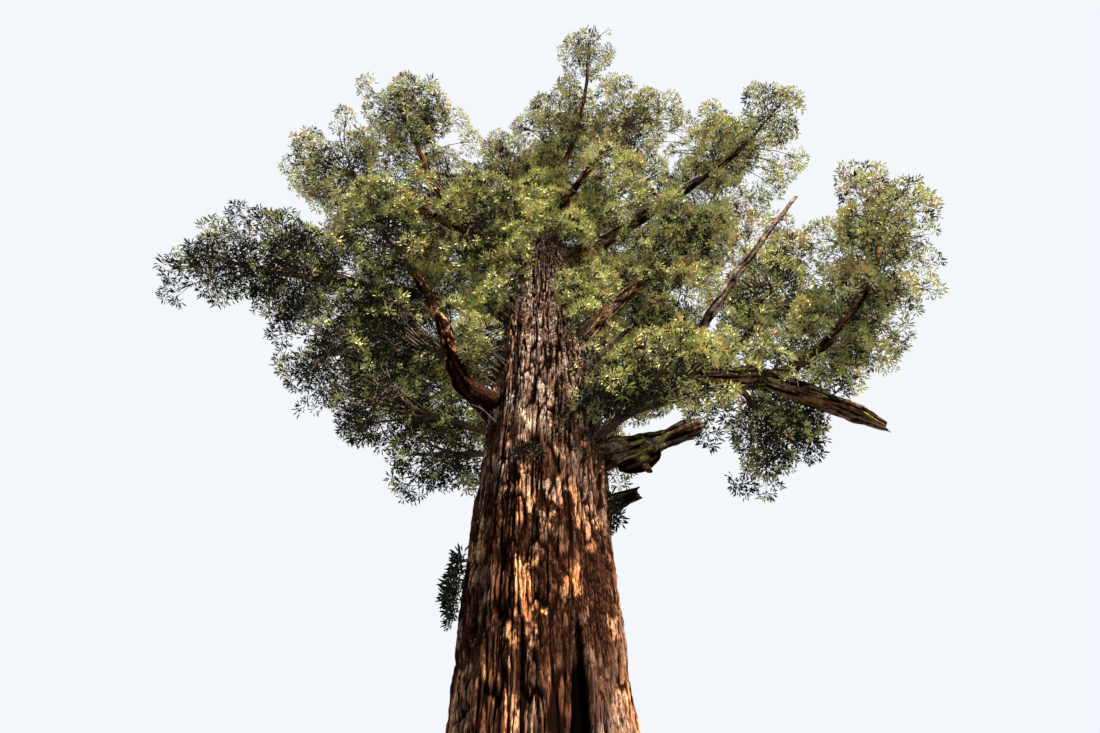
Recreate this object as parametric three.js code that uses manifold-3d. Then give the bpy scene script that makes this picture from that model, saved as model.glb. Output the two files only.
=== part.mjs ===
// A giant sequoia, whole, from the flat cut at ground level to its tip.
// Millimetres, +Z up, origin on the ground under the middle of the trunk.
// Headings are degrees round the trunk: 0 is +X, 90 is +Y.

import * as THREE from "three";
import { mergeVertices } from "three/addons/utils/BufferGeometryUtils.js";
import Module from "manifold-3d";

const wasm = await Module();
wasm.setup();

// Driving dimensions of the trunk
const TREE_HEIGHT = 40000;
const TAPER_HEIGHT = 39600;
const TRUNK_TOP = 37800;
const LEAN_X = 0.066;
const LEAN_Y = -0.17;
const SWEEP = 90;
const SWEEP_TOP = 27000;
const BOLE_WIDTH = 3230;
const TAPER_POWER = 2.8;
const FLARE_WIDTH = 1884;
const FLARE_HEIGHT = 1884;
const BUTT_WIDTH = 565;
const BUTT_HEIGHT = 5652;
const FORK_LOW = 25500;
const FORK_HIGH = 30500;
const FORK_THINNING = 0.45;
const ROOT_RIDGES = 9;
const RIDGE_PHASE = 0.6;
const RIDGE_DEPTH = 0.085;
const RIDGE_FADE = 5200;
const ROOT_LOBES = 4;
const LOBE_PHASE = 1.1;
const LOBE_SHARE = 0.5;
const BOLE_FLUTES = 5;
const BOLE_FLUTING = 0.018;
const FLUTE_PITCH = 4000;

// The broad ribs of the bark, which wander a little from side to side as they climb
const BARK_RIBS = 17;
const RIB_DEPTH = 0.024;
const RIB_WANDER = 0.9;
const RIB_PITCH = 3100;
const RIB_TWIST = 11000;

// The old fire scar: a groove that narrows and grows shallow from the ground to its top
const SCAR_ANGLE = THREE.MathUtils.degToRad(294);
const SCAR_TOP = 11000;
const SCAR_HALF_WIDTH = 640;
const SCAR_DEPTH = 620;
const SCAR_NARROWING = 0.5;
const SCAR_SHALLOWING = 0.35;
const SCAR_FLOOR = 0.45;

// How finely the solids are faceted
const TRUNK_SIDES = 56;
const TRUNK_RINGS = 18;
const RING_CROWDING = 1.35;
const SIDE_CROWDING = 0.4;
const LIMB_SIDES = 6;
const LIMB_RING_LENGTH = 900;
const FEWEST_RINGS = 5;
const MOST_RINGS = 10;
const STEM_SIDES = 4;
const STEM_RINGS = 3;
const TWIG_SIDES = 3;
const SLIVER = 3;

// Limbs and stems
const LIMB_TAPER = 0.8;
const ENTRY = 0.85;
const STEM_LIFT = 0.7;
const STEM_REACH = 0.45;
const STEM_LEAD = 0.5;
const STEM_TIP = 0.35;
const STEM_ON_LIMB = 0.92;
const STEM_ON_TIP = 0.8;
const STEM_DROP = 0.55;
const STEM_THINNEST = 70;
const STEM_PER_REACH = 0.022;

// Sprays of twigs and needles
const SEED = 4021;
const SEED_STEP = 977;
const MOST_SPRAYS = 12;
const WIDEST_MASS = 2400;
const WIDEST_SPRAY = 720;
const NARROWEST_SHARE = 0.5;
const SHORTEST_SPRAY = 0.4;
const SPRAY_ROOM = 0.4;
const LEAST_REACH = 0.88;
const TURN_PLAY = 0.5;
const FIRST_ON_STEM = 0.45;
const SPAN_ON_STEM = 0.5;
const TWIG_RADIUS = 48;
const TWIG_THINNING = 0.8;
const TWIG_SHARE = 0.46;
const WAIST_SHARE = 0.66;
const WAIST_WIDTH = 0.62;
const TOOTH_SHARE = 0.86;
const TOOTH_ROOM = 0.9;
const CORE_SHARE = 0.56;
const LEAST_CORE = 0.25;

// How masses share the space between them, and how far they reach to close a gap
const NEIGHBOUR_RANGE = 1.6;
const GAP_RANGE = 1.5;
const BRIDGE_REACH = 1.3;
const FACING = 0.25;
const PULL_STEPS = 12;
const PULL_SHARE = 0.08;

const UP = new THREE.Vector3(0, 0, 1);
const GOLDEN_TURN = Math.PI * (3 - Math.sqrt(5));

// Clearances
const GAP = 0.3;
const CUT_GAP = 0.4;
const SPACE_MARGIN = 12;
const LIMB_MARGIN = 25;
const TRUNK_SPACE_FROM = 12000;
const TRUNK_SPACE_STEP = 1500;
const TRUNK_SPACE_SHARE = 1.05;
const LIMB_STRETCHES = 10;
const STEM_STRETCHES = 4;

const WOOD = { color: 0x8a5236, roughness: 0.95, metalness: 0 };
const DEAD_WOOD = { color: 0x9a8f7c, roughness: 0.95, metalness: 0 };
const NEEDLES = { color: 0x6f7a35, roughness: 0.85, metalness: 0 };

// Each foliage mass: where its middle stands from the trunk's axis, its half width across,
// and its half length outwards and its half height as shares of that.
const MASSES = {
  left_tip: { heading: 201, reach: 9600, height: 21400, radius: 1350, tall: 0.9 },
  left_mid: { heading: 203, reach: 7600, height: 21700, radius: 1900, tall: 0.85 },
  left_low: { heading: 189, reach: 6000, height: 20300, radius: 1500, tall: 1.0 },
  left_under: { heading: 183, reach: 4400, height: 19300, radius: 1550, tall: 1.1 },
  left_hanging: { heading: 168, reach: 2950, height: 18200, radius: 1400, tall: 1.2 },
  left_inner: { heading: 187, reach: 5200, height: 22100, radius: 1900, tall: 0.9 },
  front_left: { heading: 201, reach: 5600, height: 26000, radius: 2200, tall: 0.9 },
  front_left_high: { heading: 222, reach: 2900, height: 27200, radius: 2050, tall: 1.0 },
  upper_left_tip: { heading: 201, reach: 8200, height: 30000, radius: 2000, tall: 0.9 },
  upper_left_top: { heading: 217, reach: 6750, height: 32200, radius: 1900, tall: 1.05 },
  upper_left_shoulder: { heading: 200, reach: 4300, height: 30900, radius: 2000, tall: 0.9 },
  top_left: { heading: 214, reach: 2100, height: 34000, radius: 1800, tall: 0.9 },
  top_spike: { heading: 291, reach: 5900, height: 37500, radius: 1250, tall: 1.5 },
  top_front: { heading: 293, reach: 2450, height: 36200, radius: 2150, tall: 1.0 },
  top_right: { heading: 323, reach: 4900, height: 35200, radius: 2050, tall: 1.0 },
  right_high: { heading: 339, reach: 7850, height: 30900, radius: 1950, tall: 1.05 },
  right_spike: { heading: 329, reach: 9850, height: 28800, radius: 1200, tall: 1.8 },
  right_upper_inner: { heading: 334, reach: 3300, height: 31000, radius: 2200, tall: 1.0 },
  right_upper: { heading: 347, reach: 5650, height: 27200, radius: 2300, tall: 0.9 },
  right_inner: { heading: 8, reach: 4100, height: 24300, radius: 1850, tall: 0.9 },
  right_under: { heading: 316, reach: 2250, height: 17800, radius: 1250, tall: 1.0 },
  right_low_mid: { heading: 334, reach: 4350, height: 18000, radius: 1350, tall: 0.9 },
  right_mid: { heading: 351, reach: 7400, height: 23200, radius: 2050, tall: 0.9 },
  right_far: { heading: 351, reach: 9800, height: 21300, radius: 1950, long: 1.1, tall: 0.9 },
  right_far_top: { heading: 342, reach: 11400, height: 23200, radius: 1550, tall: 1.3 },
  right_low: { heading: 8, reach: 6900, height: 18900, radius: 1550, tall: 0.85 },
  back_right: { heading: 48, reach: 6600, height: 28600, radius: 2550, tall: 0.9 },
  back_right_high: { heading: 40, reach: 4900, height: 33000, radius: 2400, tall: 1.0 },
  back_low: { heading: 78, reach: 4500, height: 24000, radius: 2400, tall: 0.95 },
  back_middle: { heading: 98, reach: 6700, height: 28300, radius: 2550, tall: 0.9 },
  back_high: { heading: 95, reach: 4500, height: 33600, radius: 2500, tall: 1.0 },
  back_left_low: { heading: 143, reach: 4500, height: 24000, radius: 2150, tall: 0.95 },
  back_left: { heading: 146, reach: 6700, height: 27900, radius: 2550, tall: 0.9 },
  back_left_high: { heading: 152, reach: 4900, height: 32300, radius: 2400, tall: 1.0 },
  crown_tip: { heading: 90, reach: 150, height: 38740, radius: 1450, tall: 1.0 },
};

// Each limb: what it grows from and where (a height on the trunk, or a share of its parent's length),
// the mass that it carries or its own end, how far out and up its bend lies, how far it bows sideways,
// and its widths at root and tip.
const LIMBS = {
  elbow_bough_lower: {
    from: "trunk", at: 17900, end: { heading: 197, reach: 2650, height: 20300 },
    bend: [0.95, 0.3], bow: 0, root: 560, tip: 480,
  },
  elbow_bough_upper: {
    from: "elbow_bough_lower", at: 1, to: "front_left",
    bend: [0.12, 0.62], bow: 0.02, root: 480, tip: 260,
  },
  left_bough: {
    from: "trunk", at: 24000, to: "left_tip",
    bend: [0.6, -0.75], bow: -0.12, root: 620, tip: 190,
  },
  left_side_bough: {
    from: "left_bough", at: 0.64, to: "left_mid",
    bend: [0.7, 0.25], bow: -0.1, root: 300, tip: 180,
  },
  left_low_bough: {
    from: "left_bough", at: 0.5, to: "left_low",
    bend: [0.8, 0.2], bow: 0.16, root: 300, tip: 170,
  },
  upper_left_bough: {
    from: "trunk", at: 28300, to: "upper_left_tip",
    bend: [0.55, 0.4], bow: -0.05, root: 560, tip: 220,
  },
  upper_left_side_bough: {
    from: "upper_left_bough", at: 0.42, to: "upper_left_top",
    bend: [0.6, 0.2], bow: -0.1, root: 380, tip: 230,
  },
  spike_leader: {
    from: "trunk", at: 32600, to: "top_spike",
    bend: [0.75, 0.35], bow: 0.1, root: 330, tip: 130,
  },
  top_right_bough: {
    from: "trunk", at: 30400, to: "top_right",
    bend: [0.65, 0.3], bow: -0.12, root: 420, tip: 220,
  },
  fork_bough: {
    from: "trunk", at: 27300, to: "right_high",
    bend: [0.6, 0.38], bow: 0.04, root: 760, tip: 230,
  },
  right_spike_bough: {
    from: "fork_bough", at: 0.55, to: "right_spike",
    bend: [0.75, 0.25], bow: 0.1, root: 340, tip: 150,
  },
  sunlit_bough: {
    from: "trunk", at: 20900, to: "right_upper",
    bend: [0.55, 0.3], bow: -0.1, root: 700, tip: 270,
  },
  giant_bough: {
    from: "trunk", at: 19000, end: { heading: 2, reach: 9950, height: 18100 },
    bend: [0.5, -1.6], bow: -0.2, root: 1000, tip: 480,
  },
  rising_limb: {
    from: "giant_bough", at: 0.44, to: "right_mid",
    bend: [0.75, 0.3], bow: 0.1, root: 400, tip: 200,
  },
  far_limb: {
    from: "giant_bough", at: 0.6, to: "right_far",
    bend: [0.7, 0.15], bow: 0.1, root: 380, tip: 210,
  },
  far_rising_limb: {
    from: "far_limb", at: 0.45, to: "right_far_top",
    bend: [0.7, 0.2], bow: 0.12, root: 270, tip: 150,
  },
  low_limb: {
    from: "giant_bough", at: 0.52, to: "right_low",
    bend: [0.7, 0.3], bow: -0.12, root: 300, tip: 160,
  },
  back_right_bough: {
    from: "trunk", at: 23900, to: "back_right",
    bend: [0.6, 0.3], bow: 0.08, root: 620, tip: 250,
  },
  back_bough: {
    from: "trunk", at: 24300, to: "back_middle",
    bend: [0.6, 0.3], bow: -0.08, root: 640, tip: 250,
  },
  back_left_bough: {
    from: "trunk", at: 23400, to: "back_left",
    bend: [0.6, 0.3], bow: -0.06, root: 600, tip: 250,
  },
  dead_limb: {
    from: "trunk", at: 16800, end: { heading: 349, reach: 4100, height: 17100 },
    bend: [0.6, -1.2], bow: -0.06, root: 740, tip: 420,
  },
  dead_hook: {
    from: "dead_limb", at: 0.64, end: { heading: 341, reach: 2000, height: 15900 },
    bend: [-0.75, 0.9], bow: -0.1, root: 440, tip: 420,
  },
  dead_spike: {
    from: "trunk", at: 15100, end: { heading: 1, reach: 2500, height: 15850 },
    bend: [0.6, 0.2], bow: 0, root: 520, tip: 280,
  },
  bare_spike: {
    from: "giant_bough", at: 0.36, end: { heading: 343, reach: 9700, height: 27000 },
    bend: [0.5, 0.45], bow: -0.05, root: 210, tip: 60,
  },
};
const DEAD_LIMBS = ["dead_limb", "dead_hook", "dead_spike", "bare_spike"];

// A seeded random number maker, from 0 to 1
function randomFrom(seed) {
  let state = seed >>> 0;
  return () => {
    state = (state + 0x6d2b79f5) >>> 0;
    let mixed = Math.imul(state ^ (state >>> 15), state | 1);
    mixed ^= mixed + Math.imul(mixed ^ (mixed >>> 7), mixed | 61);
    return ((mixed ^ (mixed >>> 14)) >>> 0) / 4294967296;
  };
}

function smoothStep(low, high, value) {
  const t = Math.min(1, Math.max(0, (value - low) / (high - low)));
  return t * t * (3 - 2 * t);
}

// The trunk's axis, its radius and what grows from it

// The axis leans, with a slight sweep to one side below the crown
function axisAt(height) {
  const sweep = SWEEP * Math.sin(Math.PI * Math.min(1, height / SWEEP_TOP)) ** 2;
  return new THREE.Vector3(LEAN_X * height - sweep, LEAN_Y * height, height);
}

function placeAt({ heading, reach, height }) {
  const turn = THREE.MathUtils.degToRad(heading);
  const offset = new THREE.Vector3(Math.cos(turn), Math.sin(turn), 0).multiplyScalar(reach);
  return axisAt(height).add(offset);
}

function meanRadius(height) {
  const bole = BOLE_WIDTH * (1 - (height / TAPER_HEIGHT) ** TAPER_POWER);
  const flare = FLARE_WIDTH * Math.exp(-height / FLARE_HEIGHT);
  const butt = BUTT_WIDTH * Math.exp(-height / BUTT_HEIGHT);
  const thinning = 1 - FORK_THINNING * smoothStep(FORK_LOW, FORK_HIGH, height);
  return (bole * thinning + flare + butt) / 2;
}

function scarDepth(angle, height) {
  const climb = Math.max(0, 1 - height / SCAR_TOP);
  const away = Math.atan2(Math.sin(angle - SCAR_ANGLE), Math.cos(angle - SCAR_ANGLE));
  const across = Math.abs(away) * meanRadius(height);
  const halfWidth = SCAR_HALF_WIDTH * climb ** SCAR_NARROWING + 1;
  const depth = SCAR_DEPTH * climb ** SCAR_SHALLOWING;
  return depth * (1 - smoothStep(SCAR_FLOOR, 1, across / halfWidth));
}

function trunkRadius(angle, height) {
  const fade = RIDGE_DEPTH * Math.exp(-height / RIDGE_FADE);
  const ridges = fade * Math.cos(ROOT_RIDGES * angle + RIDGE_PHASE);
  const lobes = LOBE_SHARE * fade * Math.sin(ROOT_LOBES * angle + LOBE_PHASE);
  const fluting = BOLE_FLUTING * Math.sin(BOLE_FLUTES * angle + height / FLUTE_PITCH);
  const wander = RIB_WANDER * Math.sin(height / RIB_PITCH) + height / RIB_TWIST;
  const ribs = RIB_DEPTH * Math.cos(BARK_RIBS * angle + wander);
  return meanRadius(height) * (1 + ridges + lobes + fluting + ribs) - scarDepth(angle, height);
}

// Solids

function solidFrom(geometry) {
  const bare = geometry.clone();
  bare.deleteAttribute("normal");
  bare.deleteAttribute("uv");
  const merged = mergeVertices(bare, 1e-3);
  const mesh = new wasm.Mesh({
    numProp: 3,
    vertProperties: merged.attributes.position.array,
    triVerts: new Uint32Array(merged.index.array),
  });
  return new wasm.Manifold(mesh);
}

// The largest body only: loose scraps drop off, and a hollow sealed by fusing is filled.
function largestBody(solid) {
  const bodies = solid.decompose();
  return bodies.reduce((best, body) => (body.volume() > best.volume() ? body : best));
}

function meshFrom(name, solid, look) {
  const { numProp, vertProperties, triVerts, numVert } = solid.getMesh();
  const points = new Float32Array(numVert * 3);
  for (let i = 0; i < numVert; i++) {
    points.set(vertProperties.subarray(i * numProp, i * numProp + 3), i * 3);
  }
  const geometry = new THREE.BufferGeometry();
  geometry.setAttribute("position", new THREE.BufferAttribute(points, 3));
  geometry.setIndex(new THREE.BufferAttribute(triVerts, 1));
  geometry.computeVertexNormals();
  const mesh = new THREE.Mesh(geometry, new THREE.MeshStandardMaterial(look));
  mesh.name = name;
  return mesh;
}

// A cylinder whose rings are moved onto the leaning axis, crowded together at the root flare,
// with its sides crowded together round the scar
function trunkSolid(extra) {
  const geometry = new THREE.CylinderGeometry(1, 1, 1, TRUNK_SIDES, TRUNK_RINGS);
  const position = geometry.attributes.position;
  for (let i = 0; i < position.count; i++) {
    const climb = position.getY(i) + 0.5;
    const height = TRUNK_TOP * climb ** RING_CROWDING;
    const across = Math.hypot(position.getX(i), position.getZ(i));
    const turn = Math.atan2(-position.getZ(i), position.getX(i));
    const angle = SCAR_ANGLE + turn - SIDE_CROWDING * Math.sin(turn);
    const radius = across > 0.5 ? trunkRadius(angle, height) + extra : 0;
    const point = axisAt(height);
    point.x += radius * Math.cos(angle);
    point.y += radius * Math.sin(angle);
    position.setXYZ(i, point.x, point.y, point.z);
  }
  return solidFrom(geometry);
}

// A cylinder bent along a curve and tapered from its root to its tip
function limbSolid(curve, rootRadius, tipRadius, sides, rings) {
  const geometry = new THREE.CylinderGeometry(1, 1, 1, sides, rings);
  const frames = curve.computeFrenetFrames(rings, false);
  const position = geometry.attributes.position;
  for (let i = 0; i < position.count; i++) {
    const along = position.getY(i) + 0.5;
    const ring = Math.round(along * rings);
    const radius = THREE.MathUtils.lerp(rootRadius, tipRadius, along ** LIMB_TAPER);
    const point = curve.getPointAt(along);
    point.addScaledVector(frames.normals[ring], position.getX(i) * radius);
    point.addScaledVector(frames.binormals[ring], -position.getZ(i) * radius);
    position.setXYZ(i, point.x, point.y, point.z);
  }
  return solidFrom(geometry);
}

// Limbs

function massCentre(name) {
  return placeAt(MASSES[name]);
}

// Where a limb coming from one point stops: a little inside the mass that it carries
function limbEnd(limb, from) {
  if (limb.end) return placeAt(limb.end);
  const centre = massCentre(limb.to);
  const inward = centre.clone().sub(from).normalize();
  return centre.addScaledVector(inward, -ENTRY * MASSES[limb.to].radius);
}

function limbCurve(limb, root) {
  const way = limbEnd(limb, root).sub(root);
  const side = new THREE.Vector3(-way.y, way.x, 0);
  const bendPoint = new THREE.Vector3(way.x * limb.bend[0], way.y * limb.bend[0], way.z * limb.bend[1]);
  bendPoint.add(root).addScaledVector(side, limb.bow);
  return new THREE.QuadraticBezierCurve3(root, bendPoint, limbEnd(limb, bendPoint));
}

function growLimb(name, grown) {
  const limb = LIMBS[name];
  const parent = grown[limb.from];
  let root;
  if (!parent) root = axisAt(limb.at);
  else root = parent.curve.getPointAt(limb.at);
  const onTip = parent && limb.at === 1;
  if (onTip) root.addScaledVector(parent.curve.getTangentAt(1), GAP);
  const curve = limbCurve(limb, root);
  if (onTip) straightenRoot(curve, parent.curve.getTangentAt(1));
  const rootRadius = limb.root / 2;
  const tipRadius = limb.tip / 2;
  const wanted = Math.round(curve.getLength() / LIMB_RING_LENGTH);
  const rings = THREE.MathUtils.clamp(wanted, FEWEST_RINGS, MOST_RINGS);
  const shape = (extra) => limbSolid(curve, rootRadius + extra, tipRadius + extra, LIMB_SIDES, rings);
  return { name, curve, rootRadius, tipRadius, shape, parent, onTip };
}

// A limb that goes on from another's tip sets off in that tip's direction, so that the two caps are parallel.
function straightenRoot(curve, direction) {
  const length = curve.v1.distanceTo(curve.v0);
  curve.v1.copy(curve.v0).addScaledVector(direction, length);
}

function growLimbs() {
  const grown = {};
  for (const name of Object.keys(LIMBS)) grown[name] = growLimb(name, grown);
  return grown;
}

function limbBody(limb, trunkCutter) {
  let body = limb.shape(0);
  if (limb.onTip) return body;
  const cutter = limb.parent ? limb.parent.shape(CUT_GAP) : trunkCutter;
  body = largestBody(body.subtract(cutter));
  return body;
}

// The space round each limb, as short straight stretches with a radius

function stretchesOf(curve, rootRadius, tipRadius, count) {
  const stretches = [];
  for (let i = 0; i < count; i++) {
    const radius = THREE.MathUtils.lerp(rootRadius, tipRadius, (i / count) ** LIMB_TAPER);
    stretches.push({ a: curve.getPointAt(i / count), b: curve.getPointAt((i + 1) / count), radius });
  }
  return stretches;
}

function trunkStretches() {
  const stretches = [];
  for (let height = TRUNK_SPACE_FROM; height < TRUNK_TOP; height += TRUNK_SPACE_STEP) {
    const top = Math.min(height + TRUNK_SPACE_STEP, TRUNK_TOP);
    const radius = meanRadius(height) * TRUNK_SPACE_SHARE;
    stretches.push({ a: axisAt(height), b: axisAt(top), radius });
  }
  return stretches;
}

// The shortest distance between two straight stretches
function stretchDistance(p, q) {
  const d1 = q.b.clone().sub(q.a);
  const d2 = p.b.clone().sub(p.a);
  const r = q.a.clone().sub(p.a);
  const a = d1.dot(d1);
  const e = d2.dot(d2);
  const b = d1.dot(d2);
  const c = d1.dot(r);
  const f = d2.dot(r);
  const spread = a * e - b * b;
  const clamp = THREE.MathUtils.clamp;
  let s = spread > 1e-6 ? clamp((b * f - c * e) / spread, 0, 1) : 0;
  const t = clamp((b * s + f) / e, 0, 1);
  s = clamp((b * t - c) / a, 0, 1);
  const onFirst = q.a.clone().addScaledVector(d1, s);
  const onSecond = p.a.clone().addScaledVector(d2, t);
  return onFirst.distanceTo(onSecond);
}

function clearOf(stretch, width, obstacles) {
  return obstacles.every((other) => {
    return stretchDistance(stretch, other) > other.radius + width + LIMB_MARGIN;
  });
}

// Foliage masses

function halfSizes(mass) {
  return new THREE.Vector3(mass.radius * (mass.long ?? 1), mass.radius, mass.radius * mass.tall);
}

// The half width of a mass in one direction, its long side lying outwards from the trunk
function halfWidthTowards(mass, direction) {
  const turned = direction.clone().applyAxisAngle(UP, -THREE.MathUtils.degToRad(mass.heading));
  return 1 / turned.divide(halfSizes(mass)).length();
}

// The planes that part a mass's space from its neighbours' spaces
function spacePlanes(name) {
  const planes = [];
  const centre = massCentre(name);
  for (const other of Object.keys(MASSES)) {
    if (other === name) continue;
    const way = massCentre(other).sub(centre);
    const distance = way.length();
    const direction = way.normalize();
    const mine = halfWidthTowards(MASSES[name], direction);
    const theirs = halfWidthTowards(MASSES[other], direction);
    if (distance > NEIGHBOUR_RANGE * (mine + theirs)) continue;
    planes.push({ direction, limit: (distance * mine) / (mine + theirs) - SPACE_MARGIN });
  }
  return planes;
}

function roomTowards(point, centre, planes) {
  const offset = point.clone().sub(centre);
  return Math.min(...planes.map((plane) => plane.limit - offset.dot(plane.direction)), Infinity);
}

// Where a mass's stem sets off, and in which direction
function stemStart(name, grown) {
  const carrier = Object.values(grown).find((limb) => LIMBS[limb.name].to === name);
  if (carrier) {
    const direction = carrier.curve.getTangentAt(1);
    const root = carrier.curve.getPointAt(1).addScaledVector(direction, GAP);
    return { root, direction, radius: carrier.tipRadius * STEM_ON_LIMB, cut: false };
  }
  if (name === "crown_tip") {
    const root = axisAt(TRUNK_TOP).addScaledVector(UP, GAP);
    return { root, direction: UP, radius: meanRadius(TRUNK_TOP) * STEM_ON_TIP, cut: false };
  }
  const mass = MASSES[name];
  const drop = STEM_DROP * (mass.reach - meanRadius(mass.height));
  const root = axisAt(mass.height - drop);
  const direction = massCentre(name).sub(root).normalize();
  return { root, direction, radius: STEM_THINNEST + STEM_PER_REACH * mass.reach, cut: true };
}

// The stem runs from its root to the middle of the mass and a little beyond.
function growStem(name, grown) {
  const start = stemStart(name, grown);
  const mass = MASSES[name];
  const centre = massCentre(name);
  const outward = centre.clone().sub(axisAt(mass.height)).setZ(0).normalize();
  const onward = outward.add(start.direction).addScaledVector(UP, STEM_LIFT).normalize();
  const end = centre.clone().addScaledVector(onward, STEM_REACH * mass.radius);
  const lead = STEM_LEAD * start.root.distanceTo(centre);
  const bendPoint = start.root.clone().addScaledVector(start.direction, lead);
  const curve = new THREE.QuadraticBezierCurve3(start.root, bendPoint, end);
  return { name, curve, rootRadius: start.radius, tipRadius: start.radius * STEM_TIP, cut: start.cut };
}

// One spray: a slim three-sided twig that swells into a core, with three bundles of needles standing out
function spraySolid(from, to, twigRadius, width, turn) {
  const along = to.clone().sub(from);
  const length = along.length();
  const heading = along.clone().normalize();
  const across = UP.clone().cross(heading);
  if (across.length() < 0.1) across.set(1, 0, 0);
  across.normalize();
  const upward = heading.clone().cross(across);
  const points = [];
  const add = (share, radius, angle) => {
    const point = from.clone().addScaledVector(heading, share * length);
    point.addScaledVector(across, radius * Math.cos(angle));
    point.addScaledVector(upward, radius * Math.sin(angle));
    points.push(point.x, point.y, point.z);
  };
  const third = (2 * Math.PI) / TWIG_SIDES;
  for (let k = 0; k < TWIG_SIDES; k++) add(0, twigRadius, turn + k * third);
  for (let k = 0; k < TWIG_SIDES; k++) add(TWIG_SHARE, twigRadius * TWIG_THINNING, turn + k * third);
  for (let k = 0; k < TWIG_SIDES; k++) add(WAIST_SHARE, width * WAIST_WIDTH, turn + k * third);
  for (let k = 0; k < TWIG_SIDES; k++) add(TOOTH_SHARE, width, turn + (k + 0.5) * third);
  add(1, 0, 0);
  const tip = 4 * TWIG_SIDES;
  const faces = [0, 2, 1];
  for (let k = 0; k < TWIG_SIDES; k++) {
    const next = (k + 1) % TWIG_SIDES;
    for (const ring of [0, TWIG_SIDES]) {
      faces.push(ring + k, ring + next, ring + next + TWIG_SIDES);
      faces.push(ring + k, ring + next + TWIG_SIDES, ring + k + TWIG_SIDES);
    }
    const low = 2 * TWIG_SIDES + k;
    const high = 2 * TWIG_SIDES + next;
    const tooth = 3 * TWIG_SIDES + k;
    faces.push(low, high, tooth, high, tip, tooth, tip, low, tooth);
  }
  const geometry = new THREE.BufferGeometry();
  geometry.setAttribute("position", new THREE.BufferAttribute(new Float32Array(points), 3));
  geometry.setIndex(faces);
  return solidFrom(geometry);
}

// How much further a mass reaches where a neighbour stands beyond a gap, so that the crown closes up
function bridging(mass, direction, planes) {
  const mine = halfWidthTowards(mass, direction);
  let wall = Infinity;
  for (const plane of planes) {
    const facing = direction.dot(plane.direction);
    if (facing > FACING) wall = Math.min(wall, plane.limit / facing);
  }
  if (wall > GAP_RANGE * mine) return 1;
  return THREE.MathUtils.clamp(wall / mine, 1, BRIDGE_REACH);
}

// Even directions over a ball, loosened by chance, then stretched to the mass's half sizes
function sprayTarget(mass, centre, planes, index, count, random) {
  const high = 1 - (2 * (index + 0.5)) / count;
  const flat = Math.sqrt(1 - high * high);
  const turn = index * GOLDEN_TURN + random() * TURN_PLAY;
  const reach = LEAST_REACH + (1 - LEAST_REACH) * random();
  const target = new THREE.Vector3(flat * Math.cos(turn), flat * Math.sin(turn), high);
  target.multiply(halfSizes(mass)).multiplyScalar(reach);
  target.applyAxisAngle(UP, THREE.MathUtils.degToRad(mass.heading));
  target.multiplyScalar(bridging(mass, target.clone().normalize(), planes));
  return target.add(centre);
}

function growSprays(name, stem, obstacles) {
  const mass = MASSES[name];
  const centre = massCentre(name);
  const planes = spacePlanes(name);
  const random = randomFrom(SEED + Object.keys(MASSES).indexOf(name) * SEED_STEP);
  const share = Math.min(1, mass.radius / WIDEST_MASS);
  const count = Math.round(MOST_SPRAYS * share);
  const width = Math.max(NARROWEST_SHARE, share) * WIDEST_SPRAY;
  const sprays = [];
  for (let index = 0; index < count; index++) {
    const target = sprayTarget(mass, centre, planes, index, count, random);
    const along = FIRST_ON_STEM + SPAN_ON_STEM * random();
    const from = stem.curve.getPointAt(along);
    const turn = random() * Math.PI;
    const to = shortenedTarget(from, target, centre, planes);
    const needles = { a: from.clone().lerp(to, WAIST_SHARE), b: to };
    const twig = { a: from, b: needles.a };
    const long = from.distanceTo(to) > SHORTEST_SPRAY * mass.radius;
    const roomy = roomTowards(needles.a, centre, planes) > width;
    if (!long || !roomy || to.z > TREE_HEIGHT) continue;
    if (!clearOf(needles, width * TOOTH_ROOM, obstacles)) continue;
    if (!clearOf(twig, stem.tipRadius, obstacles)) continue;
    sprays.push(spraySolid(from, to, TWIG_RADIUS, width, turn));
  }
  return sprays;
}

// Draws a target back until it and its spray's teeth lie inside the mass's own space
function shortenedTarget(from, target, centre, planes) {
  const to = target.clone();
  for (let step = 0; step < PULL_STEPS; step++) {
    if (roomTowards(to, centre, planes) > SPRAY_ROOM * WIDEST_SPRAY) break;
    to.lerp(from, PULL_SHARE);
  }
  return to;
}

// A rough lump of twigs at the heart of a dense mass, smaller where a limb or a neighbour is near
function coreSolid(name, obstacles) {
  const mass = MASSES[name];
  const centre = massCentre(name);
  const spot = { a: centre, b: centre.clone().add(UP) };
  const limbRoom = Math.min(...obstacles.map((o) => stretchDistance(spot, o) - o.radius));
  const room = Math.min(limbRoom, roomTowards(centre, centre, spacePlanes(name))) - LIMB_MARGIN;
  const radius = Math.min(CORE_SHARE * mass.radius, room);
  if (radius < LEAST_CORE * mass.radius) return null;
  const geometry = new THREE.IcosahedronGeometry(radius, 0);
  geometry.scale(1, 1, Math.min(1, mass.tall));
  geometry.translate(centre.x, centre.y, centre.z);
  return solidFrom(geometry);
}

function massSolid(name, stem, trunkCutter, obstacles) {
  let stemBody = limbSolid(stem.curve, stem.rootRadius, stem.tipRadius, STEM_SIDES, STEM_RINGS);
  if (stem.cut) stemBody = largestBody(stemBody.subtract(trunkCutter));
  const pieces = growSprays(name, stem, obstacles);
  const core = coreSolid(name, obstacles);
  if (core) pieces.push(core);
  const leafy = wasm.Manifold.union(pieces).simplify(SLIVER);
  return largestBody(leafy.add(stemBody));
}

// The tree

const tree = new THREE.Group();
const trunkCutter = trunkSolid(CUT_GAP);
tree.add(meshFrom("trunk", trunkSolid(0), WOOD));

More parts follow.
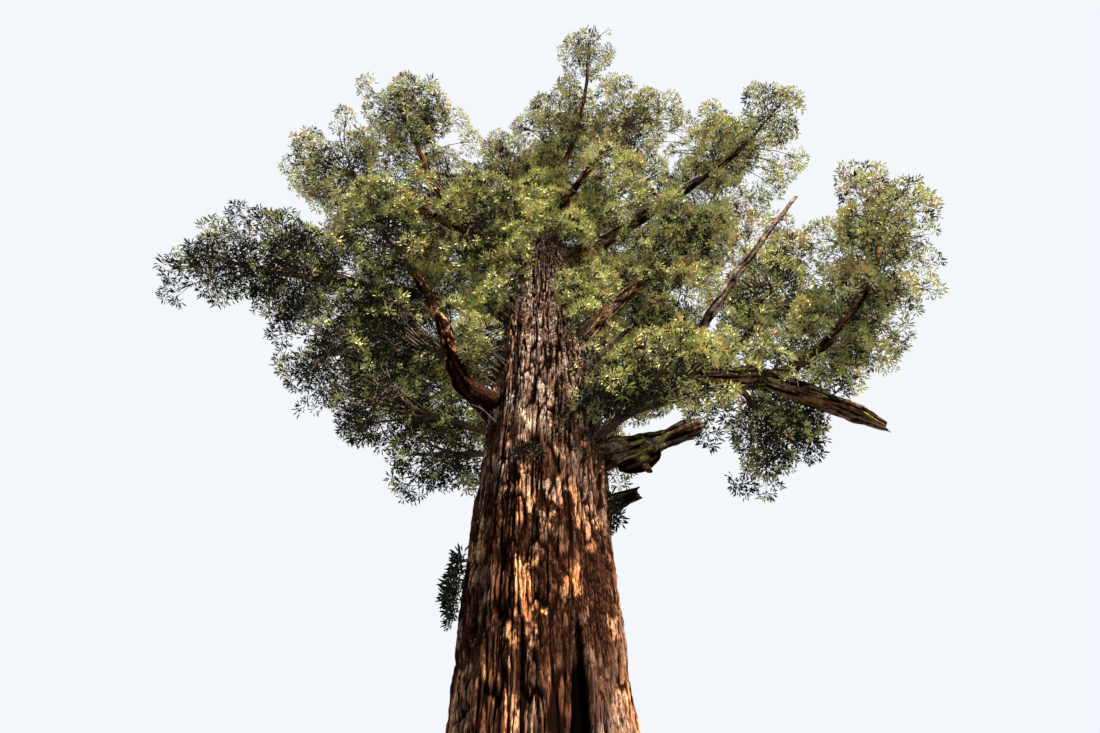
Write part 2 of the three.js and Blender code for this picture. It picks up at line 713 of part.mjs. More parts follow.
const limbs = growLimbs();
for (const limb of Object.values(limbs)) {
  const look = DEAD_LIMBS.includes(limb.name) ? DEAD_WOOD : WOOD;
  tree.add(meshFrom(limb.name, limbBody(limb, trunkCutter), look));
}

const stems = Object.fromEntries(Object.keys(MASSES).map((name) => [name, growStem(name, limbs)]));
const limbSpace = Object.values(limbs).flatMap((limb) => {
  return stretchesOf(limb.curve, limb.rootRadius, limb.tipRadius, LIMB_STRETCHES);
});
const stemSpace = Object.values(stems).flatMap((stem) => {
  const stretches = stretchesOf(stem.curve, stem.rootRadius, stem.tipRadius, STEM_STRETCHES);
  return stretches.map((stretch) => ({ ...stretch, name: stem.name }));
});
for (const name of Object.keys(MASSES)) {
  const foreignStems = stemSpace.filter((stretch) => stretch.name !== name);
  const obstacles = [...trunkStretches(), ...limbSpace, ...foreignStems];
  const solid = massSolid(name, stems[name], trunkCutter, obstacles);
  tree.add(meshFrom(`foliage_${name}`, solid, NEEDLES));
}

export default tree;
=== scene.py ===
"""The looks of a giant sequoia, grown round its solid model. Metres, +Z up, headings in degrees from +X."""

import math

import bpy
import numpy as np
from mathutils import Matrix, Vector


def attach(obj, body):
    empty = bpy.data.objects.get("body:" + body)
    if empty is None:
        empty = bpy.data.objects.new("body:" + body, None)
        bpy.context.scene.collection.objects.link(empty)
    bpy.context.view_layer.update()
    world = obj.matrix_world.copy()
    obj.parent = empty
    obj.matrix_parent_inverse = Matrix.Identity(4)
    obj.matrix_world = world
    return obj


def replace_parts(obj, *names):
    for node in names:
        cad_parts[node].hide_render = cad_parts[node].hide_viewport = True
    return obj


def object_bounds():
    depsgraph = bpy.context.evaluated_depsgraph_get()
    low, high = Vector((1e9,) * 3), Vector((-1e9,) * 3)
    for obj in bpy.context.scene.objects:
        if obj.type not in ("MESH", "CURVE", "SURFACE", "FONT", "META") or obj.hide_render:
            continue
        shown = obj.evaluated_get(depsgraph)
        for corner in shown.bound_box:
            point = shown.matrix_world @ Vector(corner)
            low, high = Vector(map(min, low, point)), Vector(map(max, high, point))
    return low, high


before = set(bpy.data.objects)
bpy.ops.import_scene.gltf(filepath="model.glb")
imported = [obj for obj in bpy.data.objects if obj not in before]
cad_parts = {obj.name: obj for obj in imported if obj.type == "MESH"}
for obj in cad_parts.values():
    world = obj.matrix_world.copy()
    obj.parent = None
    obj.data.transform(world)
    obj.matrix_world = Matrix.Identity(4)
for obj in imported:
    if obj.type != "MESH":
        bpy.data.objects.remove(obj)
SOLID_BOX = np.array([list(corner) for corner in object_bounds()])

# The trunk, with the same driving sizes as its solid
TREE_HEIGHT = 40.0
TRUNK_TOP = 37.8
LEAN_X = 0.066
LEAN_Y = -0.17
SWEEP = 0.09
SWEEP_TOP = 27.0
BOLE_WIDTH = 3.23
TAPER_POWER = 2.8
FLARE_WIDTH = 1.884
FLARE_HEIGHT = 1.884
BUTT_WIDTH = 0.565
BUTT_HEIGHT = 5.652
FORK_LOW = 25.5
FORK_HIGH = 30.5
FORK_THINNING = 0.45
ROOT_RIDGES = 9
RIDGE_DEPTH = 0.085
RIDGE_FADE = 5.2
BOLE_FLUTING = 0.018
BARK_RIBS = 17
RIB_DEPTH = 0.024
RIB_WANDER = 0.9
RIB_PITCH = 3.1
RIB_TWIST = 11.0
SCAR_ANGLE = math.radians(294)
SCAR_TOP = 11.0
SCAR_HALF_WIDTH = 0.64
SCAR_DEPTH = 0.62
SCAR_WAVES = ((0.08, 2.3, 0.0), (0.06, 5.1, 1.0))
SCAR_WALL = (0.45, 1)
CHAR_EDGE = (0.72, 0.92)
CHAR_TIP = (0.02, 0.08)
COLLAR_SWELL = 0.35
COLLAR_WIDTH = 2.0
COLLAR_HEIGHT = 1.5

# How finely bark is meshed
TRUNK_COLUMNS = 600
TRUNK_ROWS = 420
ROW_POWER = 1.04
TRUNK_PARTS = {"trunk_bark_low": (0, 140), "trunk_bark_middle": (140, 280), "trunk_bark_high": (280, 420)}
LIMB_STEP = 0.07
DEAD_LIMB_STEP = 0.035
LIMB_COLUMNS = (18, 72)
COLUMN_WIDTH = 0.04
GRAIN_ROWS = 257

# The trunk's bark. Furrows: seed, cells round it, length of a cell, width, and depth where the trunk is thick
TRUNK_FURROWS = ((11, 74, 1.5, 0.14, 0.065), (23, 140, 0.9, 0.22, 0.05), (37, 200, 0.45, 0.30, 0.025))
TRUNK_GRAINS = {
    "rough": (41, 200, 0.12), "knobs": (53, 14, 1.0), "patches": (67, 22, 1.3), "bleached": (71, 44, 0.3),
    "broad": (79, 7, 3.0),
}
THICK_RADIUS = 1.7
RELIEF_SIZES = (0.12, 1.3)
ROUGH_DEPTH = 0.015
KNOB_DEPTH = 0.06
CHAR_SMOOTHING = 0.6
SKIN_LIFT = 0.03
OLD_BARK = (13, 20)
# A painted shadow on the bark, standing in for the crown's dappled shadow: a dark band round this height and
# reach, and half as much from the next two heights up
PAINTED_SHADOW_HEIGHT = 13.0
PAINTED_SHADOW_REACH = 3.2
HIGH_PAINTED_SHADOW = (15, 18)
BLEACHED_LIMIT = 0.8

# The limbs' shape and bark. Grains: what is added to the limb's seed, cells round it, a cell's length, weight
LIMB_POWER = 0.8
SUNK = 0.3
SWAY = 0.32
SWAY_GRAINS = ((0, 1.1, 0.1), (1, 1.3, 0.4))
STILL_ENDS = 0.12
ROOT_SWELL = 0.45
POINT_THINNING = 0.55
KNUCKLE_SWELL = 0.22
KNUCKLE_REACH = 0.07
ROUNDING = 0.8
FURROW_CELL = 0.13
LUMP_CELL = (0.16, 0.17)
FEWEST_CELLS = 6
KNOBS = ((4, 5, 0.55, 1), (9, 9, 0.22, 0.5))
GREY_PATCHES = ((5, 6, 0.9, 1),)
MOSS_PATCHES = ((6, 5, 0.4, 1), (10, 18, 0.13, 0.7))
KNOB_SHARE = 0.10
LUMP_SHARE = 0.05
RELIEF_SHARE = 0.16
DEEPEST_RELIEF = 0.045
KNUCKLE_MOSS = (1.5, 0.09)
MOST_MOSS = 0.85

# How a limb's tip is closed: each ring's share of the rim, its way out or in, and how much painted shade
# darkens its bark
DOME = ((0.86, 0.28, 0), (0.6, 0.5, 0), (0.3, 0.62, 0))
HOLLOW = ((0.88, 0.0, 0.1), (0.74, 0.25, 0.9), (0.45, 0.75, 1.0), (0.15, 1.0, 1.0))
SPLINTERED = ((0.80, 0.02, 0.5), (0.62, 0.35, 0.95), (0.35, 0.55, 1.0), (0.12, 0.62, 1.0))
SPLINTER_DEPTH = 2.2
STUB = dict(share=0.62, way=(0.15, -0.1, -1.0), length=0.5, width=0.2)

# Foliage
SEED = 4021
UP = np.array([0.0, 0.0, 1.0])
FLAT = np.array([1, 1, 0])
ASKEW = (0.31, 0.52, 0.79)
ENTRY = 0.85
SPACE_MARGIN = 0.012
STEM_LIFT = 0.7
STEM_REACH = 0.45
MOST_SPRAYS = 12
WIDEST_MASS = 2.4
GOLDEN_TURN = math.pi * (3 - math.sqrt(5))
FULL_TURN = 6.28
FINER_CLUMPS = 3.4
CLUMP_SHARE = 0.27
BRIDGE_REACH = 1.3
TUFT_SPACING = 0.355
TUFT_RADIUS = 0.13
TUFT_REACH = 0.3
STRANDS = 17
STRAND_LENGTH = 0.170
STRAND_WIDTH = 0.0185
TWIG_RADIUS = 0.015
TOP_LIMIT = 39.95
SPREAD_BEYOND = np.array([0.6, 0.45, 0.0])
LOBE_DEPTH = 0.2
STRAY_SHARE = 0.14
STRAY_FROM = 1.06
STRAY_SIZE = 0.6
SIDE_STEP = 0.5
SPRAY_SIZES = (0.26, 0.48)
SPRAY_REACH = (1.3, 2.1)
TRUNK_SPRAYS = 120
SPRAYS_FROM = 16.5
SPRAYS_TO = 37.0
WINDOW_HEADING = math.radians(268)
WINDOW_HALF_WIDTH = math.radians(42)
WINDOW_TOP = 21.0
VEIL_SPRAYS = 180
VEIL_FROM = 19.0
VEIL_TO = 32.5
VEIL_OPEN = 23.6
VEIL_GAP = math.radians(34)
VEIL_SPREAD = 1.6
VEIL_SIZES = (0.4, 0.65)
VEIL_LIFT = (0.12, 0.82)
HUB_STEPS = 10
HUB_STEP = 0.12
HUB_ROOM = 0.55
TUFT_CLEARANCE = 0.12
CLUMP_CLEARANCE = 0.2
WALL_CLEARANCE = 0.02
SPRAY_CLEARANCE = 0.15
THINNEST_BRANCH = 0.022
BRANCH_SHARE = 0.42
BRANCH_TAPER = 0.6
BRANCH_BOW = 0.18
LEAST_LEAN = -0.25
SHOOT_HUBS = 5
SHOOT_FROM = 0.82
SHOOT_SHARE = 0.55
CLUMP_SIZES = (0.7, 1.35)
CLUMP_SPREAD = (0.72, 1.05)
CLUMP_SHAPE = np.array([1, 1, 0.85])

# How far a tuft's axis follows its own way out, its clump's, straight up, and chance
TUFT_LEAN = (0.8, 0.45, 0.4, 0.25)
# How far a tuft is lit: by its way out of its clump, its way up, chance, and its distance from the middle.
# It is kept in the tuft's row after its place and its axis.
EXPOSURE = (0.6, 0.3, 0.42, 0.25)
LIT = 6
# Spread of a tuft's size, where on it its blades start, how long they are, and how far they stray
TUFT_SIZES = (0.75, 1.2)
STRAND_STARTS = (0.1, 1.0)
STRAND_SIZES = (0.75, 1.15)
STRAND_STRAY = (0.12, 0.25, 0.32)

# Where limbs show through the foliage: the limb, from and to which share of it, and the gap's half width
SHOWN = (
    ("sunlit_bough", 0.0, 0.55, 0.36), ("bleached_limb", 0.2, 1.0, 0.20), ("fork_bough", 0.10, 0.22, 0.36),
    ("giant_bough", 0.46, 0.56, 0.24), ("giant_bough", 0.72, 1.0, 0.26),
    ("elbow_bough_lower", 0.0, 1.0, 0.32), ("elbow_bough_upper", 0.0, 0.45, 0.26),
    ("upper_left_bough", 0.45, 0.75, 0.22), ("bare_spike", 0.3, 1.0, 0.20),
    ("top_right_bough", 0.25, 0.6, 0.24),
)
SHOWN_LEADER = (24.6, 30.0, 0.42)

# Sprays that close gaps: the limb that they leave, then its share there, and each spray's heading, reach,
# height and size
FILLERS = (
    ("right_spike_bough",
        (0.75, 343, 9.07, 28.6, 0.55), (0.65, 344, 8.21, 27.8, 0.6), (0.85, 342, 9.83, 29.0, 0.5),
        (0.9, 341, 10.4, 29.2, 0.4)),
    ("rising_limb",
        (1, 346, 8.01, 26.0, 0.55), (1, 345, 8.62, 25.8, 0.5), (1, 344, 7.61, 26.4, 0.45)),
    ("far_rising_limb",
        (0.75, 347, 9.04, 24.6, 0.55), (0.8, 345, 9.69, 24.2, 0.6), (0.8, 348, 9.87, 23.4, 0.55)),
    ("sunlit_bough",
        (0.7, 350, 5.06, 23.4, 0.6), (0.75, 349, 5.55, 23.8, 0.5)),
    ("top_right_bough",
        (0.85, 330, 6.9, 32.8, 0.6), (0.9, 322, 6.8, 33.4, 0.55), (0.95, 334, 6.91, 32.2, 0.5)),
    ("far_limb",
        (0.6, 357, 9.22, 20.0, 0.5), (0.7, 357, 10.22, 20.2, 0.45)),
    ("far_rising_limb",
        (0.95, 349, 12.5, 22.4, 0.5), (0.95, 346, 12.66, 23.0, 0.4), (0.95, 338, 11.13, 25.0, 0.45),
        (0.95, 339, 11.86, 25.0, 0.4)),
    ("upper_left_bough",
        (0.85, 199, 9.25, 28.6, 0.42), (0.8, 198, 8.41, 28.2, 0.45), (0.75, 202, 7.89, 28.6, 0.5),
        (0.65, 200, 7.19, 28.0, 0.45)),
    ("upper_left_side_bough",
        (0.85, 209, 6.5, 30.6, 0.55), (0.8, 211, 7.15, 31.2, 0.5), (0.7, 207, 5.95, 30.0, 0.45),
        (1.0, 228, 5.24, 32.6, 0.5), (0.9, 228, 4.39, 32.0, 0.5)),
    ("left_bough",
        (0.8, 203, 9.87, 23.6, 0.4), (0.85, 204, 9.19, 23.2, 0.4)),
    ("left_low_bough",
        (0.9, 192, 7.58, 21.0, 0.42), (0.95, 195, 7.22, 21.2, 0.42)),
    ("left_bough",
        (1.0, 197, 10.4, 20.6, 0.34), (1.0, 199, 10.7, 21.0, 0.34)),
    ("giant_bough",
        (0.42, 331, 4.73, 17.6, 0.38), (0.45, 336, 5.07, 17.4, 0.36), (0.62, 347, 6.76, 17.6, 0.32),
        (0.7, 350, 7.49, 17.4, 0.3)),
    ("spike_leader",
        (0.6, 294, 4.01, 34.6, 0.42), (0.5, 293, 3.4, 34.2, 0.45), (0.4, 293, 2.79, 33.6, 0.45)),
    ("fork_bough",
        (0.4, 324, 4.38, 27.0, 0.5), (0.35, 319, 3.55, 26.6, 0.45)),
)

# Sprays drawn to the dark tones as painted shade, that break up the outline of the low right mass
LOW_FILLERS = (
    ("low_limb",
        (1.0, 2, 7.49, 18.4, 0.45), (1.0, 359, 7.96, 18.8, 0.45), (1.0, 358, 8.61, 19.4, 0.4),
        (1.0, 14, 5.76, 17.6, 0.34), (1.0, 14, 6.55, 17.6, 0.3), (1.0, 1, 4.68, 18.0, 0.4),
        (1.0, 356, 4.40, 18.4, 0.4), (1.0, 6, 7.56, 18.0, 0.35)),
)

# Sprays round the leader's top: how many, between which heights, their sizes and how far out they stand
LEADER_SPRAYS = 44
LEADER_FROM = 34.2
LEADER_TO = 38.0
LEADER_SIZES = (0.34, 0.5)
LEADER_LIFT = 0.05
LEADER_REACH = (0.1, 0.9)

# Sprays over the stems to the right of the trunk, above the dead limb, drawn to the dark tones as painted
# shade
LOW_COVER = (
    (294, 1.94, 17.1), (310, 2.11, 16.9), (322, 2.57, 17.0), (329, 3.16, 17.1), (303, 2.18, 17.5),
    (317, 2.55, 17.4), (325, 3.09, 17.5), (332, 3.61, 17.3), (298, 2.22, 18.0), (313, 2.48, 18.0),
    (321, 3.04, 18.0),
)
COVER_SIZE = 0.42
COVER_SHADE = 1.2
LEFT_SHADE = 3.0
LEFT_EDGE = -2.0
LEFT_TOP = 25.0

# Small leafy shoots low on the trunk, drawn to the darkest tone as painted shade: heading, height and size
SPRIGS = (
    (261, 15.1, 0.32), (264, 15.7, 0.26), (287, 16.4, 0.26), (281, 16.9, 0.24), (340, 16.2, 0.24),
    (346, 15.7, 0.22), (341, 14.8, 0.28), (348, 14.6, 0.28), (192, 13.5, 0.28), (191, 13.0, 0.34),
    (192, 12.5, 0.34), (193, 12.1, 0.28), (20, 15.4, 0.30), (96, 14.0, 0.30), (140, 16.1, 0.34),
    (60, 12.2, 0.26),
)
SPRIG_SHADE = 6.0
SPRIG_SPACING = 0.17

# Each mass of foliage: heading, reach and height of its middle, its half width and the rest as shares of that
MASS_FIELDS = ("heading", "reach", "height", "radius", "tall", "open", "long")
MASS_ROWS = {
    "left_tip": (201, 9.6, 21.4, 1.35, 0.9, 0.95), "left_mid": (203, 7.6, 21.7, 1.9, 0.85),
    "left_low": (189, 6, 20.3, 1.5, 1.0, 0.9), "left_under": (183, 4.4, 19.3, 1.55, 1.1),
    "left_hanging": (168, 2.95, 18.2, 1.4, 1.2, 0.8), "left_inner": (187, 5.2, 22.1, 1.9, 0.9),
    "front_left": (201, 5.6, 26.0, 2.2, 0.9, 1.25), "front_left_high": (222, 2.9, 27.2, 2.05, 1.0, 1.2),
    "upper_left_tip": (201, 8.2, 30, 2.0, 0.9, 1.0), "upper_left_top": (217, 6.75, 32.2, 1.9, 1.05),
    "upper_left_shoulder": (200, 4.3, 30.9, 2.0, 0.9), "top_left": (214, 2.1, 34.0, 1.8, 0.9),
    "top_spike": (291, 5.9, 37.5, 1.25, 1.5, 0.9), "top_front": (293, 2.45, 36.2, 2.15, 1.0),
    "top_right": (323, 4.9, 35.2, 2.05, 1.0), "right_high": (339, 7.85, 30.9, 1.95, 1.05),
    "right_spike": (329, 9.85, 28.8, 1.2, 1.8, 1.15), "right_upper_inner": (334, 3.3, 31.0, 2.2, 1.0),
    "right_upper": (347, 5.65, 27.2, 2.3, 0.9, 1.2), "right_inner": (8, 4.1, 24.3, 1.85, 0.9),
    "right_under": (316, 2.25, 17.8, 1.25, 1.0, 1.4), "right_low_mid": (334, 4.35, 18.0, 1.35, 0.9, 1.3),
    "right_mid": (351, 7.4, 23.2, 2.05, 0.9, 1.1), "right_far": (351, 9.8, 21.3, 1.95, 0.9, 1, 1.1),
    "right_far_top": (342, 11.4, 23.2, 1.55, 1.3, 1.15), "right_low": (8, 6.9, 18.9, 1.55, 0.85),
    "back_right": (48, 6.6, 28.6, 2.55, 0.9, 0.78), "back_right_high": (40, 4.9, 33.0, 2.4, 1.0, 0.78),
    "back_low": (78, 4.5, 24.0, 2.4, 0.95, 0.78), "back_middle": (98, 6.7, 28.3, 2.55, 0.9, 0.78),
    "back_high": (95, 4.5, 33.6, 2.5, 1.0, 0.78), "back_left_low": (143, 4.5, 24.0, 2.15, 0.95, 0.78),
    "back_left": (146, 6.7, 27.9, 2.55, 0.9, 0.78), "back_left_high": (152, 4.9, 32.3, 2.4, 1.0, 0.78),
    "crown_tip": (90, 0.15, 38.74, 1.45, 1.0),
}
MASSES = {name: dict(zip(MASS_FIELDS, row)) for name, row in MASS_ROWS.items()}

# Neighbouring masses, joined by kind, and how their sprays share the tones from dark to gold and brown. The
# left and low right masses take the most of the dark tone as painted shade
REGIONS = {
    "left": (("left_tip", "left_mid", "left_low", "left_under", "left_hanging", "left_inner"),
             (0.76, 0.14, 0.07, 0.02, 0.01)),
    "front_left": (("front_left", "front_left_high"), (0.36, 0.28, 0.27, 0.06, 0.03)),
    "upper_left": (("upper_left_tip", "upper_left_top", "upper_left_shoulder"),
                   (0.40, 0.24, 0.20, 0.10, 0.06)),
    "top": (("top_left", "top_spike", "top_front", "top_right", "crown_tip"), (0.25, 0.25, 0.30, 0.13, 0.07)),
    "right": (("right_high", "right_spike", "right_upper_inner", "right_upper", "right_inner"),
              (0.24, 0.20, 0.41, 0.10, 0.05)),
    "under_right": (("right_low",), (0.52, 0.26, 0.17, 0.03, 0.02)),
    "low_right": (("right_under", "right_low_mid", "right_mid"), (0.23, 0.20, 0.45, 0.08, 0.04)),
    "far_right": (("right_far", "right_far_top"), (0.20, 0.22, 0.38, 0.13, 0.07)),
    "back_low": (("back_low", "back_left_low", "back_right", "back_middle"),
                 (0.30, 0.34, 0.25, 0.07, 0.04)),
    "back_high": (("back_left", "back_left_high", "back_high", "back_right_high"),
                  (0.28, 0.34, 0.25, 0.09, 0.04)),
}
SIDE_TONES = (0.26, 0.36, 0.30, 0.05, 0.03)
# Tones of needles: the darkest is painted shade and the third, pale yellow-green, is painted sunlight, dealt
# to tufts by how far they are lit; gold and brown are the tips' own colours
TONES = {
    "dark": (0.010, 0.0125, 0.0045),
    "green": (0.250, 0.275, 0.092),
    "painted_sunlit": (0.600, 0.600, 0.250),
    "gold": (0.620, 0.490, 0.190),
    "brown": (0.370, 0.220, 0.095),
}

# Each limb: its parent, the place on it, the mass or place it goes to, its bend and its widths
LIMBS = {
    # The elbow boughs' bark is darkened all over by a full painted shadow
    "elbow_bough_lower": dict(
        at=17.9, end=(197, 2.65, 20.3), bend=(0.95, 0.3), bow=0, widths=(0.56, 0.48), stout=1.15, painted_shadow=1.0,
        rugged=1.5),
    "elbow_bough_upper": dict(
        on="elbow_bough_lower", at=1, to="front_left", bend=(0.12, 0.62), bow=0.02, widths=(0.48, 0.26),
        stout=1.15, painted_shadow=1.0, rugged=1.5),
    "left_bough": dict(
        at=24.0, to="left_tip", bend=(0.6, -0.75), bow=-0.12, widths=(0.62, 0.19)),
    "left_side_bough": dict(
        on="left_bough", at=0.64, to="left_mid", bend=(0.7, 0.25), bow=-0.1, widths=(0.3, 0.18)),
    "left_low_bough": dict(
        on="left_bough", at=0.5, to="left_low", bend=(0.8, 0.2), bow=0.16, widths=(0.3, 0.17)),
    "upper_left_bough": dict(
        at=28.3, to="upper_left_tip", bend=(0.55, 0.4), bow=-0.05, widths=(0.56, 0.22)),
    "upper_left_side_bough": dict(
        on="upper_left_bough", at=0.42, to="upper_left_top", bend=(0.6, 0.2), bow=-0.1, widths=(0.38, 0.23)),
    "spike_leader": dict(
        at=32.6, to="top_spike", bend=(0.75, 0.35), bow=0.1, widths=(0.33, 0.13)),
    "top_right_bough": dict(
        at=30.4, to="top_right", bend=(0.65, 0.3), bow=-0.12, widths=(0.42, 0.22)),
    "fork_bough": dict(
        at=27.3, to="right_high", bend=(0.6, 0.38), bow=0.04, widths=(0.76, 0.23), grey=0.4, bleached=0.3,
        leafy=1.5),
    "right_spike_bough": dict(
        on="fork_bough", at=0.55, to="right_spike", bend=(0.75, 0.25), bow=0.1, widths=(0.34, 0.15),
        grey=0.5, bleached=0.7, leafy=2.2),
    "sunlit_bough": dict(
        at=20.9, to="right_upper", bend=(0.55, 0.3), bow=-0.1, widths=(0.7, 0.27), grey=0.6, bleached=0.45,
        leafy=2.4),
    "giant_bough": dict(
        at=19.0, end=(2, 9.95, 18.1), bend=(0.5, -1.6), bow=-0.2, widths=(1.0, 0.48), grey=0.6, bleached=0.6,
        moss=-0.1, broken=0.45, rugged=1.8, pointed=0.1, leafy=3.4),
    "rising_limb": dict(
        on="giant_bough", at=0.44, to="right_mid", bend=(0.75, 0.3), bow=0.1, widths=(0.4, 0.2), grey=0.5,
        bleached=0.6, leafy=2.2),
    "far_limb": dict(
        on="giant_bough", at=0.6, to="right_far", bend=(0.7, 0.15), bow=0.1, widths=(0.38, 0.21), leafy=3.0),
    "far_rising_limb": dict(
        on="far_limb", at=0.45, to="right_far_top", bend=(0.7, 0.2), bow=0.12, widths=(0.27, 0.15),
        leafy=2.6),
    "low_limb": dict(
        on="giant_bough", at=0.52, to="right_low", bend=(0.7, 0.3), bow=-0.12, widths=(0.3, 0.16)),
    "back_right_bough": dict(
        at=23.9, to="back_right", bend=(0.6, 0.3), bow=0.08, widths=(0.62, 0.25)),
    "back_bough": dict(
        at=24.3, to="back_middle", bend=(0.6, 0.3), bow=-0.08, widths=(0.64, 0.25)),
    "back_left_bough": dict(
        at=23.4, to="back_left", bend=(0.6, 0.3), bow=-0.06, widths=(0.6, 0.25)),
    "dead_limb": dict(
        at=16.8, end=(349, 4.1, 17.1), bend=(0.6, -1.2), bow=-0.06, widths=(0.74, 0.42), grey=0.5,
        bleached=0.3, moss=0.1, rugged=2.3, knuckle=0.64),
    "dead_hook": dict(
        on="dead_limb", at=0.64, end=(341, 2.0, 15.9), bend=(-0.75, 0.9), bow=-0.1, widths=(0.5, 0.48),
        grey=0.3, moss=0.55, rugged=1.9, cut=(-0.24, -0.55, -0.8), slant=1.3, jag=0.02, hollow=0.35,
        bleached=0.35, rounded=0.3),
    "dead_spike": dict(
        at=15.1, end=(1, 2.5, 15.85), bend=(0.6, 0.2), bow=0, widths=(0.52, 0.3), grey=0.25, rugged=1.6,
        cut=(-0.1, -0.3, -0.95), slant=1.5, jag=0.14, hollow=0.16),
    "bare_spike": dict(
        on="giant_bough", at=0.36, end=(343, 9.7, 27.0), bend=(0.5, 0.45), bow=-0.05, widths=(0.21, 0.06),
        stout=2.0, rugged=1.5, grey=0.6, bleached=0.9, broken=0.2),
    "bleached_limb": dict(
        at=18.9, end=(319, 3.4, 19.6), bend=(0.6, 0.35), bow=-0.05, widths=(0.28, 0.14), seen_only=True,
        grey=0.7, bleached=1.4, broken=0.2, rugged=1.4),
}
DEAD_LIMBS = ("dead_limb", "dead_hook", "dead_spike", "bare_spike", "bleached_limb")

# Barks: the colours of their streaks and of weathered wood, and how far their grain is drawn out
BARKS = {
    "bark": dict(low=(0.42, 0.138, 0.052), high=(0.76, 0.40, 0.175), grey=(0.45, 0.33, 0.26), stretch=0.14),
    "dead_wood": dict(low=(0.22, 0.12, 0.07), high=(0.52, 0.37, 0.23), grey=(0.38, 0.32, 0.26), stretch=0.4),
}
# Noise on bark: scale, detail, and how far it is drawn out, as a share of the bark's stretch or for all barks
GRAIN_NOISE = {"streaks": (11.0, 4.0, 1.0), "cracks": (30.0, 8.0, 0.75), "fibres": (55.0, 4.0, 1.3)}
SPOT_NOISE = {"patches": (1.1, 7.0, 0.7), "shadow_dapples": (1.9, 9.0, 0.6), "scales": (6.5, 9.0, 0.75)}
STREAK_ENDS = (0.42, 0.60)
# Layers over the streaks, in turn: the noise that breaks a layer up and its ends, the value at the mesh's
# points that says where it lies, and its colour, where none is the bark's own grey
BARK_LAYERS = (
    # Dark patches: partly weathered bark, partly painted shade that stands in for the crown's dappled shadow
    ("patches", (0.47, 0.55), None, (0.090, 0.034, 0.018)),
    (None, None, "grey", None),
    (None, None, "bleached", (0.66, 0.56, 0.45)),
    ("scales", (0.50, 0.46), "grey", (0.050, 0.024, 0.018)),
    # Painted shadow: ragged dark dapples that stand in for the crown's shadow, where the mesh's value says
    ("shadow_dapples", (0.46, 0.50), "painted_shadow", (0.0060, 0.0025, 0.0017)),
    ("fibres", (0.56, 0.36), None, (0.080, 0.032, 0.017)),
    # Painted shade in the cracks, where the bump sinks the bark
    ("cracks", (0.48, 0.40), None, (0.009, 0.0037, 0.0024)),
    (None, None, "moss", (0.23, 0.25, 0.04)),
    # Painted shade in the furrows, and in the hollow and broken ends of limbs
    (None, None, "furrow", (0.0045, 0.0018, 0.0011)),
    # Charred bark in the scar, its tint darker than char so that it also paints the scar's shade
    (None, None, "char", (0.0007, 0.0005, 0.0005)),
)
NOISE_ROUGHNESS = 0.6
TWIG_COLOURS = {
    "branch": ((0.028, 0.017, 0.012), (0.105, 0.072, 0.050)),
    "twig": ((0.035, 0.022, 0.014), (0.115, 0.085, 0.056)),
}
DARKER = 0.62
LIGHTER = 1.35
# The rest of each surface: its roughness and how much it shines
BARK_SURFACE = (0.95, 0.0)
TWIG_SURFACE = (0.9, 0.2)
NEEDLE_SURFACE = (0.75, 0.15)
FLOOR_SURFACE = (0.9, 0.5)

# Camera, floor and light. A sun's angle and the camera's turns are in degrees
CAMERA_PLACE = (0.0, -13.2, 1.0)
CAMERA_LENS = 24.0
CAMERA_SENSOR = 36.0
CAMERA_CLIP = (0.1, 1000)
CAMERA_HEADING = -9.5
CAMERA_TILT = 90 + 64.335
CAMERA_ROLL = -10.465
FLOOR_SIZE = 120.0
FLOOR_HEIGHT = -0.002
FLOOR_COLOUR = (0.12, 0.116, 0.110, 1)
AMBIENT = dict(colour=(0.78, 0.88, 1.0, 1), strength=0.36)
BACKDROP = dict(colour=(0.90, 0.93, 0.97, 1), strength=1.0)
SUNS = {
    "key": dict(way=(0.58, -0.64, 0.58), strength=20.0, angle=0.7, colour=(1.0, 0.94, 0.84)),
    "back": dict(way=(-0.35, 0.75, 0.55), strength=2.5, angle=12, colour=(1.0, 0.97, 0.92)),
    "fill": dict(way=(-0.7, -0.55, 0.35), strength=0.9, angle=20, colour=(0.9, 0.95, 1.0)),
}

# Small helpers

def smooth_step(low, high, value):
    t = np.clip((value - low) / (high - low), 0, 1)
    return t * t * (3 - 2 * t)


def unit(vector):
    vector = np.asarray(vector, float)
    return vector / np.linalg.norm(vector, axis=-1, keepdims=True)


def turn_between(angle, heading):
    """The turn from a heading to an angle, from minus half a turn to half a turn"""
    return np.arctan2(np.sin(angle - heading), np.cos(angle - heading))


def seeded_draws(seed):
    """The source's own stream of random numbers, so that the main twigs fall where its twigs are"""
    state = seed & 0xFFFFFFFF
    while True:
        state = (state + 0x6D2B79F5) & 0xFFFFFFFF
        mixed = ((state ^ (state >> 15)) * (state | 1)) & 0xFFFFFFFF
        mixed ^= (mixed + (((mixed ^ (mixed >> 7)) * (mixed | 61)) & 0xFFFFFFFF)) & 0xFFFFFFFF
        yield ((mixed ^ (mixed >> 14)) & 0xFFFFFFFF) / 4294967296


